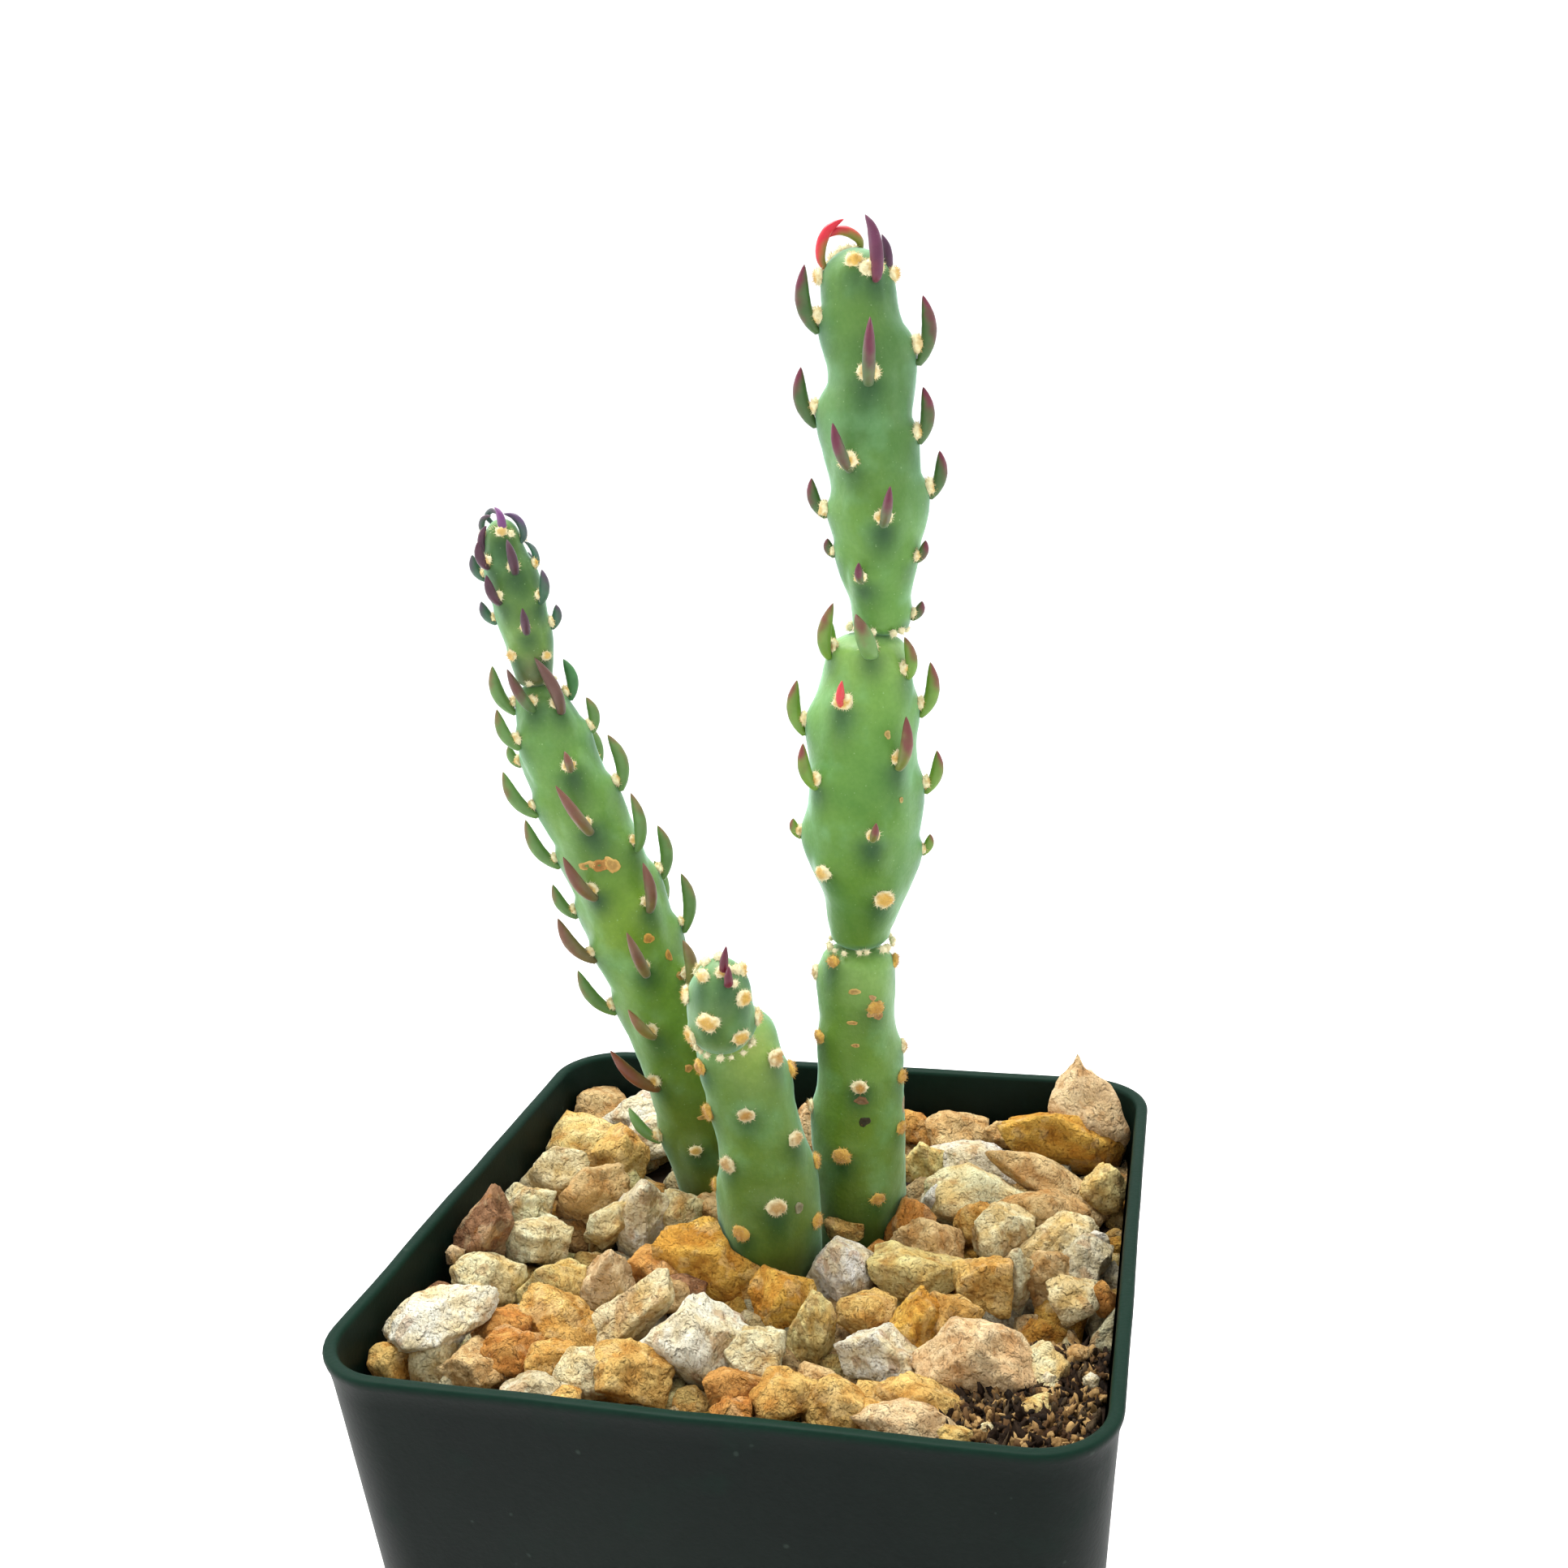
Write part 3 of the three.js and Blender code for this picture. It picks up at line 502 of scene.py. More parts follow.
def roundedSquare(half, radius, height):
    # counterclockwise from the +X side's end, with points along the straight sides too
    arcs = []
    for quarter, (sideX, sideY) in enumerate([(1, 1), (-1, 1), (-1, -1), (1, -1)]):
        angles = (quarter + np.arange(pot["cornerSteps"] + 1) / pot["cornerSteps"]) * math.pi / 2
        middle = np.array([sideX, sideY]) * (half - radius)
        arcs.append(middle + radius * np.stack([np.cos(angles), np.sin(angles)], axis=1))
    share = np.arange(1, pot["sideSteps"])[:, None] / pot["sideSteps"]
    plan = []
    for arc, following in zip(arcs, arcs[1:] + arcs[:1]):
        plan += [arc, arc[-1] * (1 - share) + following[0] * share]
    plan = np.concatenate(plan)
    return np.column_stack([plan, np.full(len(plan), height)])


def potSize(heights, offset):
    # half the width across the straight sides, and the corner radius, at each height
    depth = pot["height"] - heights
    half = pot["rimWidth"] / 2 - pot["rimOverhang"] - pot["wallTaper"] * depth + offset
    return half, pot["rimCorner"] - pot["rimOverhang"] + pot["cornerGrowth"] * depth + offset


def potPlan(height, offset):
    return roundedSquare(*potSize(height, offset), height)


def makePotPaint():
    paint = Paint("pot_plastic", specularIorLevel=0.08)
    cloud = paint.mottle(45.0)
    grain = paint.mottle(2600.0, detail=2.0)
    dust = paint.flecks(520.0, 0.02, 0.12)
    scuffs = paint.mottle(160.0, detail=6.0, low=0.55, high=0.8)
    paint.color = mixOf(paint.tree, linear(pot["color"]), linear(pot["cloudColor"]), cloud)
    # painted highlight: a lighter green band on the lip stands in for the thin light line along the rim
    paint.cover(pot["edgeColor"], paint.attribute("lip", "Fac"))
    paint.cover(pot["dustColor"], dust, 0.12)
    paint.cover(pot["scuffColor"], scuffs, 0.12)
    paint.bump(grain, 0.25, 0.02)
    paint.bump(scuffs, 0.12, 0.03)
    return paint.finish(roughness=paint.scaled(scuffs, 0.15, 0.5))


def potRings():
    # [height, offset] from the foot up the outside, over the lip and down the inside to the floor
    top, lip, wall = pot["height"], pot["rimOverhang"], pot["wall"]
    inner = pot["footHeight"] + pot["floor"]
    profile = [(0, -1.2), (0.15, -0.75), (0.5, -0.3), (0.9, -0.08), (1.4, 0)]
    profile += [(height, 0) for height in (8, 20, 32, 44, 54)]
    profile += [(57.4, 0.02), (58.6, 0.1), (59.1, lip * 0.8), (59.5, lip), (59.75, lip * 0.93)]
    profile += [(59.93, lip * 0.6), (top, lip * 0.1), (top, -0.2), (top, -wall + 0.42), (59.95, -wall + 0.2)]
    profile += [(59.8, -wall + 0.06)]
    profile += [(height, -wall) for height in (59.5, 54, 44, 30, 16, inner + 1)]
    profile += [(inner + 0.3, -wall - 0.1), (inner, -wall - 0.5)]
    footHalf = pot["rimWidth"] / 2 - pot["wallTaper"] * top - pot["footWidth"]
    slope = pot["footSlope"]
    rings = [roundedSquare(footHalf, pot["footCorner"], pot["footHeight"])]
    rings += [roundedSquare(footHalf + slope, pot["footCorner"] + slope, 0)]
    rings = np.array(rings + [potPlan(height, offset) for height, offset in profile])
    # thin plastic waves a little, most of all at the open rim
    x, y, z = rings[..., 0], rings[..., 1], rings[..., 2]
    around = np.arctan2(y, x)
    sway = sum(size * np.sin(around * count + start) for count, start, size in pot["waves"])
    loose = pot["sideWave"] * smoothStep(*pot["sideWaveBand"], z)
    x *= 1 - loose * (1 + sway)
    y *= 1 - loose * (1 - sway)
    z -= smoothStep(*pot["rimWaveBand"], z) * pot["rimWave"] * (1 + sway)
    return rings


def potCutters():
    # the notches between the feet and the drain holes
    cutters = []
    for turn in (0, 90):
        bpy.ops.mesh.primitive_cube_add(size=1)
        notch = bpy.context.object
        notch.scale = (0.1, pot["footNotch"] * mm, pot["notchRise"] * mm)
        notch.rotation_euler = (0, 0, math.radians(turn))
        cutters.append(notch)
    for sideX, sideY in pot["drainPlaces"]:
        place = Vector((sideX * pot["drainOffset"], sideY * pot["drainOffset"], pot["footHeight"])) * mm
        bpy.ops.mesh.primitive_cylinder_add(
            vertices=pot["drainSides"], radius=pot["drainRadius"] * mm, depth=pot["drainDepth"] * mm,
            location=place,
        )
        cutters.append(bpy.context.object)
    return cutters


def makePot():
    rings = potRings()
    points = loftPoints(rings)
    # where the painted highlight lies along the lip
    lip = smoothStep(*pot["edgeBand"], points[:, 2])
    piece = makeObject("pot_shell", points, loftFaces(len(rings), len(rings[0])), lip=lip)
    cutters = potCutters()
    for cutter in cutters:
        modifier = piece.modifiers.new("cut", "BOOLEAN")
        modifier.operation = "DIFFERENCE"
        modifier.solver = "EXACT"
        modifier.object = cutter
    bpy.context.view_layer.update()
    keepResult(piece)
    for cutter in cutters:
        bpy.data.objects.remove(cutter)
    welded = bmesh.new()
    welded.from_mesh(piece.data)
    bmesh.ops.remove_doubles(welded, verts=welded.verts, dist=pot["weld"] * mm)
    welded.to_mesh(piece.data)
    welded.free()
    piece.data.set_sharp_from_angle(angle=math.radians(pot["sharpAngle"]))
    finishPiece(piece, "pot_plastic", "pot", material=makePotPaint())


makePot()
print("pot done")

# The stems. Each spine row is [height, x, y, radius].
# Each areole is [height, turn, leaf length, leaf tilt], or without a leaf its first two.
# Turn 0 faces -Y and grows towards +X.
# Tones are [height, colour] up the joint; patches are [height, turn, size, colour, strength].

stemJoints = {
    "tall_stem_lower": {
        "bottom": 46, "top": 82.2, "roundFoot": 4, "roundTop": 1.5, "bump": 0.35,
        "spine": [
            [46, 5.0, 9.0, 4.0], [54, 5.3, 9.2, 4.3], [58.5, 5.4, 9.3, 4.35], [63, 5.4, 9.3, 4.35],
            [67, 5.6, 9.3, 4.1], [71, 5.7, 9.4, 3.85], [75, 5.7, 9.4, 3.55], [79, 5.8, 9.4, 3.5],
            [82, 6.1, 9.5, 3.1],
        ],
        "areoles": [
            [81.0, -33], [79.2, -80], [80.8, 100], [77.2, 38], [73.8, -52], [71.8, 102], [69.6, 12],
            [69.6, 79], [66.0, -72], [64.9, 71], [62.9, -8], [58.4, 32],
        ],
        "tones": [[55, (84, 100, 38)], [60, (100, 124, 44)], [67, (102, 134, 48)], [75, (104, 138, 56)],
                  [81, (132, 168, 90)]],
    },
    "tall_stem_middle": {
        "bottom": 81.8, "top": 111.3, "roundFoot": 1.4, "roundTop": 1.4, "bump": 0.5,
        "spine": [
            [82.5, 6.3, 9.5, 2.6], [84, 6.3, 9.5, 2.9], [86.2, 6.6, 9.6, 3.5], [88.3, 6.8, 9.6, 4.2],
            [90.5, 6.8, 9.6, 4.8], [93, 6.8, 9.6, 5.1], [96, 7.1, 9.7, 5.0], [100, 7.2, 9.7, 4.75],
            [103, 7.2, 9.7, 4.7], [106, 7.6, 9.8, 4.2], [109, 7.7, 9.8, 3.6], [110.8, 7.6, 9.8, 3.2],
        ],
        "areoles": [
            [110.2, 18, 3.8, -15], [110.3, -52, 4.8, 12], [108.2, 68, 3.6, -8], [105.6, -14, 2.3, -3],
            [105.2, 96, 4.8, 0], [103.0, -78, 4.8, 0], [100.6, 46, 4.7, 4], [98.6, -43, 4.1, -6],
            [97.4, 98, 3.8, 0], [94.0, 20, 1.5, 3], [92.8, -78, 1.5, 0], [91.0, 98, 1.6, 0], [90.4, -32],
            [88.0, 34],
        ],
        "tones": [[82, (92, 128, 46)], [88, (88, 130, 50)], [96, (86, 132, 52)], [103, (102, 148, 66)],
                  [108, (128, 168, 84)], [110, (146, 182, 98)]],
    },
    "tall_stem_upper": {
        "bottom": 110.9, "top": 143.7, "roundFoot": 1, "roundTop": 2.4, "bump": 0.5,
        "spine": [
            [111.2, 8.7, 10.1, 2.2], [114, 9.0, 10.2, 2.6], [117, 9.0, 10.2, 3.15], [119.5, 9.1, 10.2, 3.7],
            [122, 9.1, 10.2, 4.05], [125, 8.9, 10.2, 3.85], [127.5, 8.6, 10.1, 3.9], [130, 8.4, 10.0, 3.85],
            [132.5, 8.8, 10.1, 3.65], [135, 8.8, 10.1, 3.65], [137, 8.3, 10.0, 3.4],
            [139.5, 8.1, 10.0, 3.0], [142.5, 7.9, 9.9, 2.7],
        ],
        "areoles": [
            [142.4, 10, 2.6, -35], [141.7, 42, 5.1, -8], [141.0, 84, 3.6, 0], [141.5, -75, 4.2, 18],
            [138.3, -66, 5.4, 8], [134.8, 88, 5.4, 0], [133.4, 9, 5.3, -2], [130.2, -78, 4.9, 0],
            [127.8, 82, 4.4, 4], [126.6, -15, 4.1, -6], [123.2, 99, 3.8, 4], [122.2, -77, 3.3, -2],
            [121.5, 16, 3.3, 10], [118.2, -74, 1.0, 0], [118.0, 69, 1.5, 10], [116.4, -15, 1.5, 6],
            [112.9, 97, 1.2, 0],
        ],
        "tones": [[111, (106, 150, 68)], [118, (98, 142, 64)], [125, (80, 122, 54)], [133, (78, 118, 56)],
                  [140, (80, 120, 62)], [143, (94, 132, 74)]],
    },
    "left_stem_lower": {
        "bottom": 48, "top": 106.8, "roundFoot": 5, "roundTop": 1.2, "bump": 0.5,
        "spine": [
            [48, -9.2, 13.3, 3.6], [55, -10.2, 13.0, 3.9], [60, -11.2, 12.8, 4.0], [66.5, -12.5, 12.5, 4.0],
            [71, -13.6, 12.2, 3.95], [76.5, -15.1, 11.8, 3.95], [82, -16.7, 11.4, 4.15],
            [87.5, -18.3, 11.1, 3.85], [91.5, -19.5, 10.8, 3.75], [95.6, -21.0, 10.3, 3.65],
            [99.1, -22.1, 10.0, 3.25], [102.3, -22.9, 9.8, 3.0], [104.9, -23.5, 9.7, 2.3],
            [106.3, -23.8, 9.6, 1.8],
        ],
        "areoles": [
            [105.4, -70, 4.8, 6], [105.4, 4, 4.2, -18], [104.6, 56, 5.5, -7], [105.0, 114, 3.7, 4],
            [102.4, -40, 4.0, -6], [101.3, 114, 3.3, 0], [100.2, -76, 2.2, 0], [99.0, 34, 1.9, 2],
            [96.5, -50, 5.0, -8], [95.4, 106, 5.2, 4], [93.8, 24, 5.7, -8], [91.0, -66, 5.3, -6],
            [90.4, 73, 5.4, 6], [87.8, -5, 5.0, -8], [86.4, 115, 4.9, 4], [85.6, -70, 3.7, -4],
            [84.9, 54, 4.8, 4], [81.8, -45, 5.2, -8], [81.0, 108, 5.4, 4], [79.6, 22, 5.0, -2],
            [77.0, 72, 4.4, -3], [75.9, -62, 5.3, -4], [73.4, 2, 3.7, -16], [71.1, 58],
            [68.2, -19, 5.2, -26], [64.8, 62], [61.8, -50, 3.5, -36], [60.6, 8],
        ],
        "tones": [[55, (92, 90, 32)], [62, (100, 120, 38)], [72, (108, 144, 48)], [80, (108, 148, 52)],
                  [90, (106, 142, 66)], [100, (104, 146, 74)], [106, (112, 152, 84)]],
        "patches": [[84, 20, 4.0, (128, 158, 36), 0.7], [105, 20, 1.4, (70, 100, 40), 0.5]],
    },
    "left_stem_upper": {
        "bottom": 106.3, "top": 122.1, "roundFoot": 1, "roundTop": 1.8, "bump": 0.25,
        "spine": [
            [106.6, -23.9, 9.6, 1.5], [109, -23.9, 9.6, 1.9], [111.5, -24.2, 9.5, 2.1],
            [115, -24.8, 9.3, 2.35], [117, -25.2, 9.3, 2.2], [119.4, -25.6, 9.1, 1.75],
            [120.8, -25.6, 9.1, 1.5],
        ],
        "areoles": [
            [120.9, 20, 2.4, -6], [120.5, -66, 2.4, 15], [120.1, 105, 2.6, -16], [118.6, -30, 2.5, 4],
            [117.7, 34, 3.1, 0], [117.3, 98, 2.5, -4], [117.5, -76, 2.4, 0], [115.3, -16, 2.8, 2],
            [114.5, 72, 2.9, 6], [113.4, -70, 2.2, -4], [112.2, 24, 2.4, 4], [111.8, 103, 2.0, 4],
            [109.9, -30], [109.4, 60],
        ],
        "tones": [[106.5, (112, 98, 56)], [108.4, (116, 110, 62)], [110.2, (128, 158, 80)],
                  [113, (118, 152, 84)], [117, (80, 116, 58)], [121, (88, 120, 64)]],
    },
    "small_stem_lower": {
        "bottom": 47, "top": 79.0, "roundFoot": 4.5, "roundTop": 3.2, "bump": 0.35,
        "spine": [
            [47, -1.5, 0.6, 4.2], [52, -1.5, 0.6, 4.6], [56, -1.5, 0.8, 4.7], [60, -1.5, 0.9, 4.55],
            [63.3, -1.7, 1.1, 4.25], [66, -2.0, 1.1, 3.9], [69, -2.5, 1.1, 3.75], [72, -3.1, 1.1, 3.8],
            [74, -3.5, 1.1, 3.75], [77.6, -3.9, 1.2, 3.5],
        ],
        "areoles": [
            [76.2, -76], [74.4, -45], [74.1, 69], [71.7, 108], [70.1, 9], [70.1, -58], [66.5, 65],
            [65.4, -31], [63.1, 107], [61.9, -76], [61.2, 24], [58.8, 76], [58.9, -16],
        ],
        "tones": [[54, (76, 84, 30)], [58, (94, 112, 40)], [64, (102, 130, 46)], [70, (100, 130, 58)],
                  [77, (98, 138, 76)]],
        "patches": [[75.5, 42, 3.0, (166, 184, 92), 0.8], [61, 10, 3.0, (92, 118, 52), 0.4]],
    },
    "small_stem_upper": {
        "bottom": 76.2, "top": 85.3, "roundFoot": 3, "roundTop": 3, "bump": 0.25,
        "spine": [
            [76.2, -3.7, -2.7, 2.5], [78, -3.7, -3.0, 2.75], [80.5, -3.6, -3.6, 2.8],
            [82.3, -3.5, -3.8, 2.65], [85, -3.4, -3.8, 2.3],
        ],
        "areoles": [
            [84.4, 27, 1.8, 0], [84.0, -30, 1.4, 0], [84.2, 100], [82.0, -74], [82.4, 60], [80.9, -6],
            [79.5, 104], [79.3, 46], [78.9, -52],
        ],
        "tones": [[76, (106, 122, 60)], [80, (98, 130, 66)], [84, (108, 142, 90)]],
    },
}

tubercle = {"width": 1.7, "above": 1.2, "below": 3.2, "farSideRise": 1.3, "spacing": 2.6, "calm": 4,
            "lowest": 0.25, "farSideReach": 72, "farSideTurn": 42, "farLeaf": 0.8}
stemMesh = {"sides": 88, "step": 0.28, "fewest": 24, "endFlat": 0.006, "relief": 0.11,
            "lumps": [(4.5, 2, 3.0, 1), (1.3, 2, 8.0, 0.35)]}
# size of the painted shade spot under each areole, and how far below its leaf or felt it sits
shadeSpotShape = {"width": 1.35, "above": 0.9, "below": 1.5, "underLeaf": 1.0, "underFelt": 0.7}
viewTurn = 14


def along(spine, heights, column):
    # smooth value of one column of a spine at each height
    rows = np.array(spine, dtype=float)
    z, v = rows[:, 0], rows[:, column]
    last = len(z) - 1
    k = np.clip(np.searchsorted(z, heights, side="left"), 1, last)
    before, after = np.maximum(k - 2, 0), np.minimum(k + 1, last)
    span = z[k] - z[k - 1]
    t = np.clip((heights - z[k - 1]) / span, 0, 1)
    slopeLow = (v[k] - v[before]) / (z[k] - z[before]) * span
    slopeHigh = (v[after] - v[k - 1]) / (z[after] - z[k - 1]) * span
    rise = t * t * (3 - 2 * t)
    return v[k - 1] + (v[k] - v[k - 1]) * rise + slopeLow * t * (1 - t) ** 2 + slopeHigh * t * t * (t - 1)


def turnBetween(a, b):
    return (a - b + 180) % 360 - 180


def spineFrame(joint, heights):
    # middle of the stem and its up, right and back directions at each height
    def at(z):
        return np.stack([along(joint["spine"], z, 1), along(joint["spine"], z, 2), z], axis=-1)

    heights = np.asarray(heights, dtype=float)
    up = at(heights + 1) - at(heights - 1)
    up /= np.linalg.norm(up, axis=-1, keepdims=True)
    right = np.array([1.0, 0, 0]) - up * up[..., :1]
    right /= np.linalg.norm(right, axis=-1, keepdims=True)
    return at(heights), up, right, np.cross(up, right)


def outwardAt(right, back, turns):
    turns = np.radians(turns)[..., None]
    return right * np.sin(turns) - back * np.cos(turns)


def distanceAround(turns, turn, girth):
    return np.radians(turnBetween(turns, turn)) * girth


def girthAt(joint, height):
    return float(along(joint["spine"], np.array([height]), 3)[0])


def allPlaces(joint):
    # the listed areoles, and their like on the far side where there is room
    places = [[*areole, 0, 0][:4] for areole in joint["areoles"]]
    for height, turn, leaf, tilt in list(places):
        past = turnBetween(turn, viewTurn)
        across = viewTurn + 180 + max(min(past, tubercle["farSideTurn"]), -tubercle["farSideTurn"])
        twin = [height + tubercle["farSideRise"], across, leaf * tubercle["farLeaf"], -tilt]
        girth = girthAt(joint, height)
        gaps = [math.hypot(distanceAround(across, place[1], girth), twin[0] - place[0]) for place in places]
        isLow = twin[0] < joint["top"] - 1
        if isLow and min(gaps) > tubercle["spacing"] and abs(past) < tubercle["farSideReach"]:
            places.append(twin)
    return places


def radiusAt(joint, heights, turns):
    foot = np.clip((heights - joint["bottom"]) / joint["roundFoot"], stemMesh["endFlat"], 1)
    crown = np.clip((joint["top"] - heights) / joint["roundTop"], stemMesh["endFlat"], 1)
    ends = np.sqrt((1 - (1 - foot) ** 2) * (1 - (1 - crown) ** 2))
    body = along(joint["spine"], heights, 3) * ends
    bump = np.zeros_like(body)
    for height, turn, *_ in joint["places"]:
        rise = heights - height
        reach = np.where(rise > 0, tubercle["above"], tubercle["below"])
        around = distanceAround(turns, turn, body) / tubercle["width"]
        calm = min(max((joint["top"] - height) / tubercle["calm"], tubercle["lowest"]), 1)
        bump = np.maximum(bump, calm * np.exp(-(around ** 2) - (rise / reach) ** 2))
    return body + joint["bump"] * bump * ends


for stemJoint in stemJoints.values():
    stemJoint["places"] = allPlaces(stemJoint)


def skinPoint(joint, height, turn, lift):
    # a point on the skin, or that far off it
    heights, turns = np.asarray(height, dtype=float), np.asarray(turn, dtype=float)
    centre, _, right, back = spineFrame(joint, heights)
    return centre + outwardAt(right, back, turns) * (radiusAt(joint, heights, turns) + lift)[..., None]


def makeSkinPaint():
    paint = Paint(
        "cactus_skin", specularIorLevel=0.35, subsurfaceWeight=0.22, subsurfaceRadius=(0.7, 1.0, 0.35),
        subsurfaceScale=mm, sheenWeight=0.42, sheenRoughness=0.28, sheenTint=(0.55, 0.92, 0.9, 1),
    )
    broad = paint.mottle(120.0, detail=2.0, low=0.38, high=0.7)
    fine = paint.mottle(420.0, detail=4.0, low=0.3, high=0.75)
    wax = paint.mottle(230.0, detail=3.0, low=0.5, high=0.75)
    pores = paint.flecks(2600.0, 0.12, 0.2)
    grain = paint.mottle(2400.0, detail=4.0)
    edgeHighlight = addNode(paint.tree, "ShaderNodeLayerWeight", blend=0.3).outputs["Facing"]
    paint.color = paint.attribute("tone")
    paint.soak((0.6, 0.78, 0.5), fine, 0.4)
    paint.cover((122, 160, 56), broad, 0.28)
    paint.cover((128, 180, 136), wax, 0.32)
    # painted shade: dark green under each areole and leaf, carried by the spot attribute
    paint.cover((34, 76, 38), paint.attribute("spot", "Fac"))
    paint.soak((0.91, 0.94, 0.84), 1.0)
    # painted highlight: pale blue-green painted into the colour where the skin turns away from the viewer, at
    # its outline
    paint.cover((158, 206, 172), edgeHighlight, 0.75, -0.1)
    paint.cover((176, 206, 150), pores, 0.28)
    paint.soak((0.66, 0.78, 0.6), grain, 0.3)
    paint.bump(fine, 0.25, 0.12)
    paint.bump(grain, 0.35, 0.03)
    return paint.finish(roughness=paint.scaled(fine, 0.16, 0.4))


skinPaint = makeSkinPaint()


def skinShadeSpots(joint, heights, turns, girth):
    # a darker spot of painted shade under each areole, where its leaf and felt would cast shade
    spot = np.zeros(len(heights))
    draw = makeRandom(len(joint["places"]) + int(joint["top"]))
    for height, turn, leaf, _ in joint["places"]:
        around = distanceAround(turns, turn, girth) / shadeSpotShape["width"]
        rise = heights - height + shadeSpotShape["underLeaf" if leaf > 0 else "underFelt"]
        reach = np.where(rise > 0, shadeSpotShape["above"], shadeSpotShape["below"] + draw())
        mark = np.exp(-(around ** 2) - (rise / reach) ** 2)
        spot = np.maximum(spot, mark * (0.6 + 0.4 * draw()))
    return spot


def skinTones(joint, heights, turns, girth):
    levels = [row[0] for row in joint["tones"]]
    colors = np.array([linear(row[1]) for row in joint["tones"]])
    tone = np.stack([np.interp(heights, levels, colors[:, c]) for c in range(4)], axis=1)
    for height, turn, size, color, strength in joint.get("patches", ()):
        around = distanceAround(turns, turn, girth)
        near = np.exp(-(around / size) ** 2 - ((heights - height) / size) ** 2) * strength
        tone += (np.array(linear(color)) - tone) * near[:, None]
    return tone


def makeSkin(name, joint):
    sides = stemMesh["sides"]
    tall = joint["top"] - joint["bottom"]
    share = np.linspace(0, 1, max(int(tall / stemMesh["step"]), stemMesh["fewest"]) + 1)
    # rings lie closer together at the joint's rounded ends
    levels = joint["bottom"] + tall * (0.5 * share + 0.25 * (1 - np.cos(math.pi * share)))
    heights, turns = np.meshgrid(levels, np.arange(sides) * 360 / sides, indexing="ij")
    points = skinPoint(joint, heights, turns, np.zeros_like(heights)).reshape(-1, 3)
    outward = points - spineFrame(joint, heights)[0].reshape(-1, 3)
    size = np.linalg.norm(outward, axis=1)
    lumps = layeredBumps(points, stemMesh["lumps"])
    points += outward / size[:, None] * (stemMesh["relief"] * lumps * np.clip(size / 2, 0, 1))[:, None]
    rings = points.reshape(-1, sides, 3)
    heights, turns = heights.ravel(), turns.ravel()
    girth = along(joint["spine"], heights, 3)
    values = {}
    for label, found in (("spot", skinShadeSpots), ("tone", skinTones)):
        value = found(joint, heights, turns, girth)
        ends = [value[:sides].mean(axis=0), value[-sides:].mean(axis=0)]
        values[label] = np.concatenate([value, ends])
    piece = makeObject(f"{name}_skin", loftPoints(rings), loftFaces(len(rings), sides), **values)
    finishPiece(piece, "cactus_skin", name, material=skinPaint)


for jointName, stemJoint in stemJoints.items():
    makeSkin(jointName, stemJoint)
print("stem skins done")

# The leaves: short fleshy claws that leave the skin under an areole and curve up along the stem

leafShape = {
    "drop": 0.75, "start": 0.12, "sink": 0.55, "bow": 0.13, "skew": 0.85, "steps": 28, "sides": 16,
    "deep": 0.66, "wide": 0.54, "archedWide": 0.85, "lift": 0.1, "neckRise": 0.15, "front": 48,
    "along": [-0.12, 0, 0.12, 0.3, 0.5, 0.7, 0.85, 0.95, 1],
    "depths": [0.3, 0.52, 0.76, 0.96, 1.0, 0.84, 0.54, 0.26, 0.03],
    "widths": [0.5, 0.8, 0.96, 1.04, 1.0, 0.8, 0.5, 0.24, 0.03],
}

# how far the leaves lean off the stem, from the joint's foot to its top, as a share of their length
leafLeans = {
    "tall_stem_upper": (0.42, 0.0), "tall_stem_middle": (0.4, -0.08), "left_stem_lower": (0.46, 0.12),
    "left_stem_upper": (0.4, 0.05), "small_stem_upper": (0.1, 0.1),
}

# green of the leaf, ripe colour of its rim and tip, and how far the ripe colour reaches down
leafTones = {
    "tall_stem_upper": {
        "front": ((84, 104, 60), (98, 30, 54), 0.5), "side": ((62, 96, 42), (104, 28, 52), 0.4)},
    "tall_stem_middle": {
        "front": ((108, 118, 48), (112, 52, 46), 0.5), "side": ((104, 142, 46), (120, 54, 48), 0.28)},
    "left_stem_lower": {
        "front": ((108, 96, 56), (112, 68, 50), 0.5), "side": ((92, 132, 64), (118, 92, 58), 0.2)},
    "left_stem_upper": {
        "front": ((62, 50, 44), (72, 34, 52), 0.9), "side": ((56, 98, 72), (76, 60, 78), 0.4)},
    "small_stem_upper": {
        "front": ((104, 18, 40), (84, 12, 38), 0.9), "side": ((104, 18, 40), (84, 12, 38), 0.9)},
}

# leaves that stand out, by joint, height and turn: [lean, leaf colour, ripe colour, reach, stoutness]
specialLeaves = {
    ("tall_stem_middle", 105.6, -14): [0.1, (196, 88, 70), (200, 54, 62), 0.8, 0.9],
    ("tall_stem_middle", 110.2, 18): [-0.06, (100, 138, 70), (112, 52, 52), 0.2, 1.7],
    ("left_stem_lower", 105.4, 4): [-0.12, (74, 108, 54), (96, 58, 50), 0.55, 1.0],
    ("left_stem_lower", 104.6, 56): [-0.1, (88, 66, 46), (96, 62, 52), 0.7, 1.0],
    ("left_stem_lower", 105.0, 114): [0.12, (56, 116, 58), (70, 116, 70), 0.2, 1.0],
    ("left_stem_lower", 81.8, -45): [0.3, (112, 100, 62), (116, 78, 56), 0.45, 1.0],
    ("left_stem_lower", 79.6, 22): [0.25, (118, 106, 60), (110, 74, 52), 0.45, 1.0],
    ("left_stem_lower", 77.0, 72): [0.3, (130, 134, 74), (122, 100, 60), 0.35, 1.15],
    ("left_stem_lower", 73.4, 2): [0.25, (134, 122, 64), (130, 92, 58), 0.35, 1.0],
    ("left_stem_lower", 68.2, -19): [0.35, (122, 88, 44), (118, 64, 40), 0.6, 0.9],
    ("left_stem_lower", 61.8, -50): [0.4, (96, 136, 66), (110, 146, 76), 0.3, 0.9],
}

